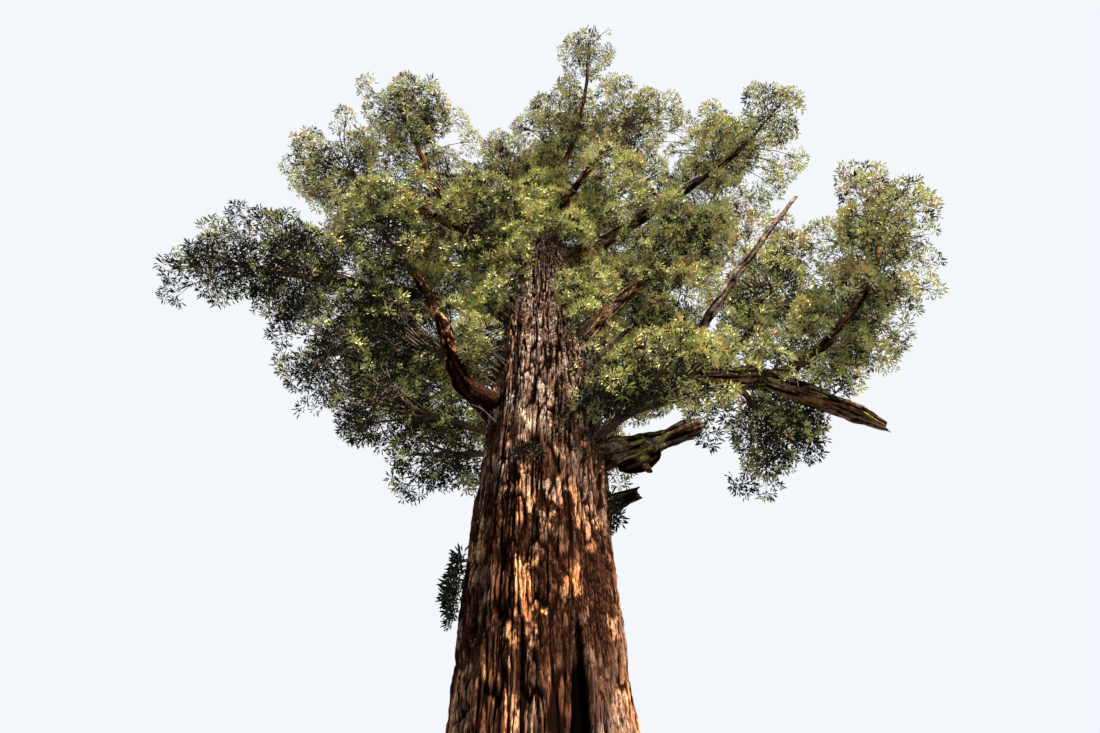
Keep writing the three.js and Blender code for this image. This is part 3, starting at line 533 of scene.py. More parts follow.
class Grain:
    """Smooth noise from -1 to 1 over the skin of a tube, whole round it and running on along it"""

    def __init__(self, seed, cells, cell_length):
        self.cells = cells
        self.cell_length = cell_length
        self.table = np.random.default_rng(seed).uniform(-1, 1, (GRAIN_ROWS, cells))

    def __call__(self, turn, along):
        across = np.mod(turn, 1) * self.cells
        up = along / self.cell_length
        column = np.floor(across).astype(int)
        row = np.floor(up).astype(int)
        s = across - column
        t = up - row
        s = s * s * (3 - 2 * s)
        t = t * t * (3 - 2 * t)
        left = column % self.cells
        right = (column + 1) % self.cells
        low = row % GRAIN_ROWS
        high = (row + 1) % GRAIN_ROWS
        lower = self.table[low, left] * (1 - s) + self.table[low, right] * s
        upper = self.table[high, left] * (1 - s) + self.table[high, right] * s
        return lower * (1 - t) + upper * t


def bell(value, middle, width):
    return np.exp(-((value - middle) / width) ** 2)


def grains(rows, seed, turn, along):
    """Several grains of a limb's bark, weighted and added up"""
    total = 0
    for number, cells, length, weight in rows:
        total = total + weight * Grain(seed + number, cells, length)(turn, along)
    return total


def furrows(turn, along, seed, cells, cell_length, width):
    """Interlacing furrows that run along a tube: 1 in the bottom of a furrow and 0 on a ridge"""
    wander = Grain(seed + 1, max(4, cells // 6), 2.5 * cell_length)(turn, along)
    level = Grain(seed, cells, cell_length)(turn + 0.35 * wander / cells, along)
    return bell(level, 0, width)


class Curve:
    """A quadratic Bezier curve, read by the share of its length"""

    def __init__(self, start, bend, end):
        t = np.linspace(0, 1, 241)[:, None]
        self.points = (1 - t) ** 2 * start + 2 * t * (1 - t) * bend + t * t * end
        steps = np.linalg.norm(np.diff(self.points, axis=0), axis=1)
        lengths = np.concatenate([[0], np.cumsum(steps)])
        self.length = lengths[-1]
        self.shares = lengths / self.length

    def at(self, share):
        return np.stack([np.interp(share, self.shares, self.points[:, k]) for k in range(3)], axis=-1)

    def direction(self, share):
        low = np.clip(share - 0.01, 0, 1)
        high = np.clip(share + 0.01, 0, 1)
        return unit(self.at(high) - self.at(low))


# Meshes from arrays

def mesh_piece(name, points, faces, material, slot, facts=None):
    """A piece of the tree from its points and triangles, with named values at its points"""
    mesh = bpy.data.meshes.new(name)
    mesh.vertices.add(len(points))
    mesh.vertices.foreach_set("co", np.asarray(points, np.float32).ravel())
    mesh.loops.add(3 * len(faces))
    mesh.loops.foreach_set("vertex_index", np.asarray(faces, np.int32).ravel())
    mesh.polygons.add(len(faces))
    mesh.polygons.foreach_set("loop_start", np.arange(0, 3 * len(faces), 3, dtype=np.int32))
    mesh.polygons.foreach_set("use_smooth", np.ones(len(faces), bool))
    mesh.update(calc_edges=True)
    for key, values in (facts or {}).items():
        kind = "FLOAT" if values.ndim == 1 else "FLOAT_VECTOR"
        attribute = mesh.attributes.new(key, kind, "POINT")
        field = "value" if values.ndim == 1 else "vector"
        attribute.data.foreach_set(field, np.asarray(values, np.float32).ravel())
    mesh.materials.append(material)
    piece = bpy.data.objects.new(name, mesh)
    bpy.context.scene.collection.objects.link(piece)
    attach(piece, "root")
    return piece


def skin_faces(rows, columns, capped=True):
    """Triangles of a tube of rings, with caps on the end rings' copies that with_caps puts after them"""
    row, column = np.meshgrid(np.arange(rows - 1), np.arange(columns), indexing="ij")
    here = row * columns + column
    side = row * columns + (column + 1) % columns
    faces = [np.stack([here, side, side + columns], -1).reshape(-1, 3),
             np.stack([here, side + columns, here + columns], -1).reshape(-1, 3)]
    if capped:
        ring = np.arange(columns)
        beside = (ring + 1) % columns
        foot = rows * columns
        head = foot + columns
        middle = np.full(columns, head + columns)
        faces.append(np.stack([foot + beside, foot + ring, middle], -1))
        faces.append(np.stack([head + ring, head + beside, middle + 1], -1))
    return np.concatenate(faces)


def with_caps(grid):
    """A grid of rings or of values at them, flattened, then its end rings again and their two middles"""
    flat = grid.reshape(-1, *grid.shape[2:])
    middles = np.stack([grid[0].mean(axis=0), grid[-1].mean(axis=0)])
    return np.concatenate([flat, grid[0], grid[-1], middles])


def ring_frames(path):
    """Two unit vectors across a path at each of its points, turning as little as they can"""
    tangents = unit(np.gradient(path, axis=0))
    across = np.zeros_like(path)
    guess = np.cross(UP, tangents[0])
    if np.linalg.norm(guess) < 0.1:
        guess = np.array([1.0, 0, 0])
    for i, tangent in enumerate(tangents):
        guess = unit(guess - tangent * (guess @ tangent))
        across[i] = guess
    return tangents, across, np.cross(tangents, across)


def tube_bundle(paths, radii, sides):
    """Many tubes of the same number of rings at once: paths is tubes x rings x 3"""
    tubes, rings, _ = paths.shape
    tangents = unit(np.gradient(paths, axis=1))
    overall = unit(paths[:, -1] - paths[:, 0])
    steep = np.abs(overall[:, 2]) > 0.9
    guess = np.cross(UP, overall)
    guess[steep] = np.cross([1.0, 0, 0], overall[steep])
    guess = unit(guess)[:, None, :]
    across = unit(guess - tangents * (guess * tangents).sum(-1, keepdims=True))
    other = np.cross(tangents, across)
    angle = np.arange(sides) * 2 * math.pi / sides
    ring = (across[:, :, None, :] * np.cos(angle)[:, None]
            + other[:, :, None, :] * np.sin(angle)[:, None])
    points = paths[:, :, None, :] + radii[:, :, None, None] * ring
    points = points.reshape(tubes, rings * sides, 3)
    faces = [skin_faces(rings, sides, capped=False)]
    last = (rings - 1) * sides
    for k in range(1, sides - 1):
        faces.append(np.array([[0, k + 1, k], [last, last + k, last + k + 1]]))
    return points.reshape(-1, 3), repeated(np.concatenate(faces), tubes, rings * sides)


def repeated(faces, count, points):
    """The triangles of many copies of a mesh of so many points"""
    return (faces[None] + (np.arange(count) * points)[:, None, None]).reshape(-1, 3)


def joined(bundles):
    """Several bundles of points and triangles as one"""
    points = []
    faces = []
    start = 0
    for some_points, some_faces in bundles:
        points.append(some_points)
        faces.append(some_faces + start)
        start += len(some_points)
    return np.concatenate(points), np.concatenate(faces)


# The trunk's shape

def axis_at(height):
    height = np.asarray(height, float)
    sweep = SWEEP * np.sin(math.pi * np.minimum(1, height / SWEEP_TOP)) ** 2
    return np.stack([LEAN_X * height - sweep, LEAN_Y * height, height], axis=-1)


def place_at(heading, reach, height):
    turn = math.radians(heading)
    return axis_at(height) + reach * np.array([math.cos(turn), math.sin(turn), 0])


def mean_radius(height):
    bole = BOLE_WIDTH * (1 - (height / (TREE_HEIGHT - 0.4)) ** TAPER_POWER)
    flare = FLARE_WIDTH * np.exp(-height / FLARE_HEIGHT)
    butt = BUTT_WIDTH * np.exp(-height / BUTT_HEIGHT)
    thinning = 1 - FORK_THINNING * smooth_step(FORK_LOW, FORK_HIGH, height)
    return (bole * thinning + flare + butt) / 2


def scar_place(angle, height):
    """How high up the scar a place is, 1 at the ground, and how far across it, 1 at its edge"""
    climb = np.maximum(0, 1 - height / SCAR_TOP)
    ragged = 1 + sum(size * np.sin(rate * height + phase) for size, rate, phase in SCAR_WAVES)
    across = np.abs(turn_between(angle, SCAR_ANGLE)) * mean_radius(height)
    return climb, across / (SCAR_HALF_WIDTH * climb ** 0.5 * ragged + 0.001)


def scar_depth(angle, height):
    climb, across = scar_place(angle, height)
    return SCAR_DEPTH * climb ** 0.35 * (1 - smooth_step(*SCAR_WALL, across))


def scar_char(angle, height):
    """How charred the bark is: wholly inside the scar, with a sharp edge"""
    climb, across = scar_place(angle, height)
    return (1 - smooth_step(*CHAR_EDGE, across)) * smooth_step(*CHAR_TIP, climb)


def trunk_radius(angle, height):
    fade = RIDGE_DEPTH * np.exp(-height / RIDGE_FADE)
    ridges = fade * np.cos(ROOT_RIDGES * angle + 0.6)
    lobes = 0.5 * fade * np.sin(4 * angle + 1.1)
    fluting = BOLE_FLUTING * np.sin(5 * angle + height / 4)
    wander = RIB_WANDER * np.sin(height / RIB_PITCH) + height / RIB_TWIST
    ribs = RIB_DEPTH * np.cos(BARK_RIBS * angle + wander)
    return mean_radius(height) * (1 + ridges + lobes + fluting + ribs) - scar_depth(angle, height)


def collars(angle, height, limbs):
    """How far the trunk swells round the root of each limb that grows on it"""
    swelling = np.zeros_like(angle)
    for limb in limbs.values():
        if limb["on_trunk"]:
            foot = limb["curve"].at(limb["start"])
            offset = foot - axis_at(foot[2])
            heading = math.atan2(offset[1], offset[0])
            away = turn_between(angle, heading) * mean_radius(height)
            wide = COLLAR_WIDTH * limb["root"]
            near = np.exp(-(away / wide) ** 2 - ((height - foot[2]) / (COLLAR_HEIGHT * wide)) ** 2)
            swelling += COLLAR_SWELL * limb["root"] * near
    return swelling


def trunk_grid(limbs):
    """Points of the trunk's bark, row by row, and what its bark is like at each"""
    height = np.linspace(0, 1, TRUNK_ROWS + 1) ** ROW_POWER * TRUNK_TOP
    turn = np.arange(TRUNK_COLUMNS) / TRUNK_COLUMNS
    height, turn = np.meshgrid(height, turn, indexing="ij")
    angle = 2 * math.pi * turn
    deep, middling, fine = [furrows(turn, height, *row[:4]) for row in TRUNK_FURROWS]
    grain = {key: Grain(*row)(turn, height) for key, row in TRUNK_GRAINS.items()}
    size = np.clip(mean_radius(height) / THICK_RADIUS, *RELIEF_SIZES)
    old = smooth_step(*OLD_BARK, height)
    depths = [row[4] for row in TRUNK_FURROWS]
    relief = -size * (depths[0] * deep + depths[1] * middling + depths[2] * fine)
    relief += size * ROUGH_DEPTH * grain["rough"] + size * old * KNOB_DEPTH * grain["knobs"]
    char = scar_char(angle, height)
    relief *= 1 - CHAR_SMOOTHING * char
    radius = trunk_radius(angle, height) + SKIN_LIFT * size + relief + collars(angle, height, limbs)
    across = np.stack([np.cos(angle), np.sin(angle), np.zeros_like(angle)], -1)
    points = axis_at(height) + radius[..., None] * across
    deepest = np.maximum(np.maximum(deep, 0.85 * middling), 0.6 * fine)
    # How deep in a furrow each point lies, which the bark darkens as painted shade
    furrow = smooth_step(0.25, 0.8, deepest - 0.12 * grain["rough"])
    # Painted shadow: a dark band low on the trunk and half as much higher up, broken by a broad grain
    band = bell(height, PAINTED_SHADOW_HEIGHT, PAINTED_SHADOW_REACH) + 0.50 * smooth_step(*HIGH_PAINTED_SHADOW, height)
    facts = {
        "furrow": furrow,
        "grey": np.clip(0.15 + 0.55 * old + 0.45 * grain["patches"], 0, 1),
        "bleached": np.clip(old * (1.6 * grain["bleached"] - 0.3), 0, BLEACHED_LIMIT),
        "moss": np.zeros_like(furrow),
        "char": char,
        "painted_shadow": np.clip(0.15 + 0.85 * band + 0.5 * grain["broad"], 0, 1),
        "grain": np.concatenate([1.7 * across[..., :2], height[..., None]], -1),
    }
    return points, facts


def build_trunk(limbs, bark):
    points, facts = trunk_grid(limbs)
    for name, (low, high) in TRUNK_PARTS.items():
        rows = slice(low, high + 1)
        some = {key: with_caps(values[rows]) for key, values in facts.items()}
        faces = skin_faces(high + 1 - low, TRUNK_COLUMNS)
        piece = mesh_piece(name, with_caps(points[rows]), faces, bark, "bark", facts=some)
        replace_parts(piece, "trunk")


# Limbs

def limb_end(limb, start):
    if "end" in limb:
        return place_at(*limb["end"])
    mass = MASSES[limb["to"]]
    centre = mass_centre(limb["to"])
    return centre - ENTRY * mass["radius"] * unit(centre - start)


def limb_curve(limb, root):
    way = limb_end(limb, root) - root
    side = np.array([-way[1], way[0], 0])
    out, rise = limb["bend"]
    bend = root + way * np.array([out, out, rise]) + side * limb["bow"]
    return root, bend, limb_end(limb, bend)


def trunk_exit(curve):
    """The share of a curve's length where it leaves the trunk"""
    shares = np.linspace(0, 1, 400)
    points = curve.at(shares)
    offset = points - axis_at(points[:, 2])
    away = np.linalg.norm(offset[:, :2], axis=1)
    outside = away > mean_radius(points[:, 2])
    return shares[np.argmax(outside)] if outside.any() else 0.0


def grow_limbs():
    limbs = {}
    for name, limb in LIMBS.items():
        parent = limbs.get(limb.get("on"))
        root = parent["curve"].at(limb["at"]) if parent else axis_at(limb["at"])
        start, bend, end = limb_curve(limb, root)
        if parent and limb["at"] == 1:
            bend = start + parent["curve"].direction(1.0) * np.linalg.norm(bend - start)
        curve = Curve(start, bend, end)
        limbs[name] = {
            "curve": curve,
            "on_trunk": parent is None,
            "start": trunk_exit(curve) if parent is None else 0.0,
            "root": limb["widths"][0] / 2,
            "tip": limb["widths"][1] / 2,
        }
    return limbs


def limb_sizes(limb, shares):
    return limb["root"] + (limb["tip"] - limb["root"]) * shares ** LIMB_POWER


def shaped(size, shares, look):
    """A limb's radii, thinned, swollen or rounded off where its look says so"""
    size = size * look.get("stout", 1)
    if "pointed" in look:
        size = size * (1 - POINT_THINNING * smooth_step(1 - look["pointed"], 1, shares))
    if "knuckle" in look:
        size = size * (1 + KNUCKLE_SWELL * bell(shares, look["knuckle"], KNUCKLE_REACH))
    if "rounded" in look:
        size = size * np.sqrt(1 - ROUNDING * smooth_step(1 - look["rounded"], 1, shares) ** 2)
    return size


def limb_rings(name, limb):
    """Centres, frames and radii of a limb's rings, from inside what it grows on to its tip"""
    curve = limb["curve"]
    sunk = SUNK / curve.length if limb["on_trunk"] else 0.0
    first = max(0.0, limb["start"] - sunk)
    step = DEAD_LIMB_STEP if name in DEAD_LIMBS else LIMB_STEP
    count = max(12, int(curve.length * (1 - first) / step))
    shares = np.linspace(first, 1, count)
    path = curve.at(shares)
    tangents, across, other = ring_frames(path)
    along = shares * curve.length
    seed = 100 + list(LIMBS).index(name) * 7
    ends_still = smooth_step(0, STILL_ENDS, shares - first) * (1 - smooth_step(1 - STILL_ENDS, 1, shares))
    size = shaped(limb_sizes(limb, shares), shares, LIMBS[name])
    sway = SWAY * size * ends_still
    for way, (number, length, turn) in zip((across, other), SWAY_GRAINS):
        path = path + way * (sway * Grain(seed + number, 4, length)(turn, along))[:, None]
    if limb["on_trunk"]:
        beyond = np.maximum(0, along - limb["start"] * curve.length)
        size = size + ROOT_SWELL * limb["root"] * np.exp(-beyond / (1.1 * limb["root"] + 0.1))
    return path, across, other, tangents, size, along, seed


def cells_round(limb, width):
    return max(FEWEST_CELLS, int(2 * math.pi * limb["root"] / width))


def limb_grid(name, limb):
    """Points of a limb's bark and what it is like at each, with a hollow, jagged end where it is broken"""
    look = LIMBS[name]
    path, across, other, tangents, size, along, seed = limb_rings(name, limb)
    columns = int(np.clip(2 * math.pi * limb["root"] / COLUMN_WIDTH, *LIMB_COLUMNS))
    turn = np.arange(columns)[None, :] / columns
    length = along[:, None]
    cells = cells_round(limb, FURROW_CELL)
    deep = furrows(turn, length, seed + 2, cells, 1.0, 0.35)
    fine = furrows(turn, length, seed + 3, 2 * cells, 0.5, 0.4)
    knobs = grains(KNOBS, seed, turn, length)
    rugged = look.get("rugged", 1)
    depth = rugged * np.minimum(DEEPEST_RELIEF, RELIEF_SHARE * size)[:, None]
    lumps = Grain(seed + 11, cells_round(limb, LUMP_CELL[0]), LUMP_CELL[1])(turn, length)
    radius = size[:, None] * (1 + KNOB_SHARE * rugged * knobs + LUMP_SHARE * (rugged - 1) * lumps)
    radius = radius - depth * (0.8 * deep + 0.35 * fine - 0.4)
    angle = 2 * math.pi * turn
    outward = across[:, None] * np.cos(angle)[..., None] + other[:, None] * np.sin(angle)[..., None]
    points = path[:, None] + radius[..., None] * outward
    # How deep in a furrow each point lies, which the bark darkens as painted shade
    furrow = smooth_step(0.2, 0.9, 0.8 * deep + 0.35 * fine - 0.25 * (rugged - 1) * lumps)
    sky = np.clip(outward[..., 2], 0, 1)
    patch = grains(GREY_PATCHES, seed, turn, length)
    moss_patch = grains(MOSS_PATCHES, seed, turn, length)
    shares = length / limb["curve"].length
    weathered = 1.0
    if "knuckle" in look:
        swell, reach = KNUCKLE_MOSS
        moss_patch = moss_patch + swell * bell(shares, look["knuckle"], reach) - 0.25
        weathered = 0.25 + 1.6 * smooth_step(0.5, 0.66, shares)
    grey = look.get("grey", 0.12)
    bleached = weathered * look.get("bleached", 0)
    facts = {
        "furrow": furrow,
        "grey": np.clip(grey * (0.8 + 0.8 * patch) + 0.25 * sky, 0, 1),
        "bleached": np.clip(bleached * (0.45 + 0.9 * patch + 0.8 * sky), 0, 1),
        "moss": np.clip(4 * (moss_patch + 0.15 * sky - 0.6 + 0.6 * look.get("moss", -2)), 0, MOST_MOSS),
        "char": np.zeros_like(furrow),
        # Painted shadow on the limb's bark: half strength, or as its look says
        "painted_shadow": np.full_like(furrow, look.get("painted_shadow", 0.5)),
        "grain": np.stack([size[:, None] * np.cos(angle), size[:, None] * np.sin(angle),
                           length * np.ones_like(angle)], -1) + seed,
    }
    return finish_tip(points, facts, path, tangents, size, look, seed)


def finish_tip(points, facts, path, tangents, size, look, seed):
    """Closes a limb's tip: a dome, a hollow, or, where it is broken, splinters round a hollow, darkened
    inside with painted shade
    """
    broken = look.get("broken", 0)
    hollow = look.get("hollow", 0)
    tangent = tangents[-1]
    tip = path[-1]
    if broken:
        points = splintered(points, path, tangent, broken, seed)
        centre = tip - tangent * broken * 0.6
        steps = SPLINTERED
        step = -size[-1] * SPLINTER_DEPTH
    elif hollow:
        points = slanted(points, tip, tangent, look, seed)
        centre = points[-1].mean(axis=0)
        steps = HOLLOW
        step = -hollow
    else:
        centre = tip
        steps = DOME
        step = size[-1]
    rim = points[-1]
    rings = [centre + share * (rim - centre) + tangent * (way * step) for share, way, _ in steps]
    # Painted shade, deepest inside a hollow or broken end, laid on through the furrow value
    dark = np.array([darkness for _, _, darkness in steps])[:, None]
    points = np.concatenate([points, np.stack(rings)])
    filled = {}
    for key, values in facts.items():
        extra = np.repeat(values[-1:], len(rings), axis=0)
        if key == "furrow":
            extra = np.maximum(extra, dark)
        filled[key] = with_caps(np.concatenate([values, extra]))
    rows, columns = points.shape[:2]
    return with_caps(points), skin_faces(rows, columns), filled


def splintered(points, path, tangent, broken, seed):
    """A limb's points with its end drawn back in jags"""
    turn = np.arange(points.shape[1]) / points.shape[1]
    jag = 0.55 + 0.45 * Grain(seed + 7, 9, 1)(turn, 0.5) + 0.35 * Grain(seed + 8, 17, 1)(turn, 0.5)
    pull = smooth_step(0.6, 0, np.linalg.norm(path - path[-1], axis=1) / max(0.5, broken))
    return points - (pull[:, None] * (broken * jag)[None])[..., None] * tangent


def slanted(points, tip, tangent, look, seed):
    """A limb's points with its end broken off along a slant that faces a given way"""
    normal = unit(tangent + look["slant"] * np.array(look["cut"]))
    turn = np.arange(points.shape[1]) / points.shape[1]
    jag = look["jag"] * (Grain(seed + 7, 11, 1)(turn, 0.5) + 0.7 * Grain(seed + 8, 23, 1)(turn, 0.5))
    beyond = (points - tip) @ normal / (tangent @ normal) + jag
    return points - np.maximum(0, beyond)[..., None] * tangent


def build_stub(name, curve, dead_wood):
    """A short broken stub of dead wood on a limb"""
    root = curve.at(STUB["share"])
    reach = STUB["length"] * unit(STUB["way"])
    curve = Curve(root, root + 0.5 * reach, root + reach)
    points, faces = curved_tubes([(curve, STUB["width"] / 2)], 8, 14, 0.7)
    lumps = 1 + 0.12 * np.sin(31 * points[:, :1]) * np.sin(27 * points[:, 2:])
    points = root + (points - root) * lumps
    facts = {"furrow": np.full(len(points), 0.35), "grain": points}
    mesh_piece(name, points, faces, dead_wood, "dead_wood", facts=facts)


def build_limbs(limbs, materials):
    for name, limb in limbs.items():
        kind = "dead_wood" if name in DEAD_LIMBS else "bark"
        points, faces, facts = limb_grid(name, limb)
        piece = mesh_piece(name + "_bark", points, faces, materials[kind], kind, facts=facts)
        if not LIMBS[name].get("seen_only"):
            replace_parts(piece, name)
    build_stub("dead_hook_stub", limbs["dead_hook"]["curve"], materials["dead_wood"])


# The space of each mass

def mass_centre(name):
    mass = MASSES[name]
    return place_at(mass["heading"], mass["reach"], mass["height"])


def half_sizes(mass):
    return mass["radius"] * np.array([mass.get("long", 1), 1, mass["tall"]])


def turned(vectors, heading):
    """Vectors turned about the vertical by a heading in degrees"""
    c = math.cos(math.radians(heading))
    s = math.sin(math.radians(heading))
    return vectors @ np.array([[c, s, 0], [-s, c, 0], [0, 0, 1]])


def half_width_towards(mass, direction):
    return 1 / np.linalg.norm(turned(direction, -mass["heading"]) / half_sizes(mass))


def space_planes(name):
    """The planes that part a mass's space from its neighbours' spaces, as directions and limits"""
    directions = []
    limits = []
    centre = mass_centre(name)
    for other in MASSES:
        if other == name:
            continue
        way = mass_centre(other) - centre
        distance = np.linalg.norm(way)
        direction = way / distance
        mine = half_width_towards(MASSES[name], direction)
        theirs = half_width_towards(MASSES[other], direction)
        if distance > 1.6 * (mine + theirs):
            continue
        directions.append(direction)
        limits.append(distance * mine / (mine + theirs) - SPACE_MARGIN)
    return np.array(directions), np.array(limits)


def room_at(points, centre, planes):
    """How far each point lies inside the nearest wall of a mass's space"""
    directions, limits = planes
    return (limits - (points - centre) @ directions.T).min(axis=-1)


class Surroundings:
    """What foliage grows round: the limbs and the trunk, and the gaps through which limbs show"""

    def __init__(self, limbs):
        self.limbs = limbs
        self.starts, self.ends, self.radii = limb_segments(limbs)
        self.shown, self.gaps = shown_places(limbs)

    def clearance(self, points):
        """Each point's distance from the nearest limb's bark"""
        way = self.ends - self.starts
        offset = points[:, None] - self.starts[None]
        share = np.clip((offset * way).sum(-1) / (way * way).sum(-1), 0, 1)
        nearest = self.starts + share[..., None] * way
        return (np.linalg.norm(points[:, None] - nearest, axis=-1) - self.radii).min(axis=1)

    def hides_limb(self, points):
        """Whether each point stands right before a limb that is to show"""
        lengths = np.linalg.norm(self.shown - CAMERA_PLACE, axis=1)
        ways = (self.shown - CAMERA_PLACE) / lengths[:, None]
        offset = points[:, None] - CAMERA_PLACE
        along = (offset * ways).sum(-1)
        away = np.linalg.norm(offset - along[..., None] * ways, axis=-1)
        return ((away < self.gaps) & (along < lengths)).any(axis=1)


def shown_places(limbs):
    """Points along the limbs that show through the foliage, and the half width of the gap before each"""
    points = []
    widths = []
    for name, low, high, width in SHOWN:
        curve = limbs[name]["curve"]
        count = max(2, int((high - low) * curve.length / 0.2))
        points.append(curve.at(np.linspace(low, high, count)))
        widths.append(np.full(count, width))
    low, high, width = SHOWN_LEADER
    points.append(axis_at(np.arange(low, high, 0.2)))
    widths.append(np.full(len(points[-1]), width))
    return np.concatenate(points), np.concatenate(widths)


def limb_segments(limbs):
    """Starts, ends and radii of straight pieces of the limbs and of the trunk"""
    starts = []
    ends = []
    radii = []
    for limb in limbs.values():
        shares = np.linspace(limb["start"], 1, 13)
        path = limb["curve"].at(shares)
        starts.append(path[:-1])
        ends.append(path[1:])
        radii.append(limb_sizes(limb, shares)[:-1])
    heights = np.linspace(10, TRUNK_TOP, 20)
    starts.append(axis_at(heights[:-1]))
    ends.append(axis_at(heights[1:]))
    radii.append(mean_radius(heights[:-1]) * 1.03)
    return np.concatenate(starts), np.concatenate(ends), np.concatenate(radii)


# Foliage

def stem_of(name, limbs):
    """A mass's stem, by the source's rule: it goes on from the limb that carries it, or leaves the trunk"""
    mass = MASSES[name]
    centre = mass_centre(name)
    carrier = next((limb for key, limb in limbs.items() if LIMBS[key].get("to") == name), None)
    if carrier:
        direction = carrier["curve"].direction(1.0)
        root = carrier["curve"].at(1.0) - 0.05 * direction
        radius = 0.95 * carrier["tip"]
    elif name == "crown_tip":
        direction = UP
        root = axis_at(TRUNK_TOP - 0.1)
        radius = 0.95 * float(mean_radius(TRUNK_TOP))
    else:
        drop = 0.55 * (mass["reach"] - float(mean_radius(mass["height"])))
        root = axis_at(mass["height"] - drop)
        direction = unit(centre - root)
        radius = 0.07 + 0.022 * mass["reach"]
    outward = unit((centre - axis_at(mass["height"])) * FLAT)
    onward = unit(outward + direction + STEM_LIFT * UP)
    end = centre + onward * STEM_REACH * mass["radius"]
    bend = root + direction * 0.5 * np.linalg.norm(root - centre)
    return Curve(root, bend, end), radius


def ball_points(count, phases, reaches):
    """Even directions over a ball, by the golden angle"""
    index = np.arange(count)
    high = 1 - 2 * (index + 0.5) / count
    flat = np.sqrt(1 - high * high)
    turn = index * GOLDEN_TURN + phases
    return np.stack([flat * np.cos(turn), flat * np.sin(turn), high], -1) * np.asarray(reaches)[..., None]


def clump_seats(name, index, planes, rng):
    """Where the clumps of a mass's sprays sit, and where their twigs leave the stem"""
    mass = MASSES[name]
    count = round(MOST_SPRAYS * min(1, mass["radius"] / WIDEST_MASS))
    draws = seeded_draws(SEED + index * 977)
    phases = []
    reaches = []
    shares = []
    for _ in range(count):
        phases.append(0.5 * next(draws))
        reaches.append(0.88 + 0.12 * next(draws))
        shares.append(0.45 + 0.5 * next(draws))
        next(draws)
    seats = ball_points(count, np.array(phases), reaches)
    finer = round(FINER_CLUMPS * count * mass.get("open", 1)) - count
    more = ball_points(max(1, finer), 2.0 + rng.random(max(1, finer)), rng.uniform(0.5, 1.04, max(1, finer)))
    more = lobed(more, rng)
    seats = np.concatenate([seats, more[:max(0, finer)]])
    shares = np.concatenate([shares, rng.uniform(0.35, 0.95, max(0, finer))])
    offsets = turned(seats * half_sizes(mass), mass["heading"])
    return mass_centre(name) + offsets * bridging(mass, offsets, planes)[:, None], shares


def lobed(seats, rng):
    """Seats drawn in and out in broad lobes, with a few that stray past the rest, so no mass is a ball"""
    around = np.arctan2(seats[:, 1], seats[:, 0])
    phases = rng.uniform(0, FULL_TURN, 3)
    waves = np.sin(3 * around + phases[0]) * np.cos(2.5 * seats[:, 2] + phases[1])
    waves = waves + np.sin(2 * around + phases[2])
    stray = np.where(rng.random(len(seats)) < STRAY_SHARE, rng.uniform(1.1, 1.3, len(seats)), 1.0)
    reach = np.linalg.norm(seats, axis=1)
    wanted = np.minimum(reach * (1 + 0.5 * LOBE_DEPTH * waves) * stray, 1.28)
    return seats * (wanted / reach)[:, None]


def bridging(mass, offsets, planes):
    """How much further seats reach where a neighbour stands beyond a gap, so that the crown closes up"""
    directions, limits = planes
    ways = unit(offsets)
    facing = ways @ directions.T
    walls = np.where(facing > 0.25, limits / np.maximum(facing, 0.01), np.inf).min(axis=1)
    mine = np.array([half_width_towards(mass, way) for way in ways])
    near = walls < 1.5 * mine
    return np.where(near, np.clip(walls / mine, 1.0, BRIDGE_REACH), 1.0)


def grow_mass(name, around, parts):
    """The stem, branches, twigs and tufts of one mass"""
    mass = MASSES[name]
    index = list(MASSES).index(name)
    growth = Growth(around, SEED + index, parts)
    rng = growth.rng
    centre = mass_centre(name)
    planes = space_planes(name)
    stem, thick = stem_of(name, around.limbs)
    parts["stems"].append((stem, thick))
    seats, shares = clump_seats(name, index, planes, rng)
    furthest = np.array([half_width_towards(mass, way) for way in unit(seats - centre)])
    strays = np.linalg.norm(seats - centre, axis=1) > STRAY_FROM * furthest
    for seat, share, stray in zip(seats, shares, strays):
        size = CLUMP_SHARE * mass["radius"] * rng.uniform(*CLUMP_SIZES) * (STRAY_SIZE if stray else 1)
        hub = seat + unit(centre - seat) * size
        for _ in range(HUB_STEPS):
            if room_at(hub[None], centre, planes)[0] > HUB_ROOM * size:
                break
            hub = hub + HUB_STEP * (centre - hub)
        if around.clearance(hub[None])[0] >= CLUMP_CLEARANCE:
            growth.add_clump(stem, thick, share, hub, size, centre, planes)


def no_parts():
    return {"stems": [], "branches": [], "shoots": [], "twigs": [], "tufts": []}


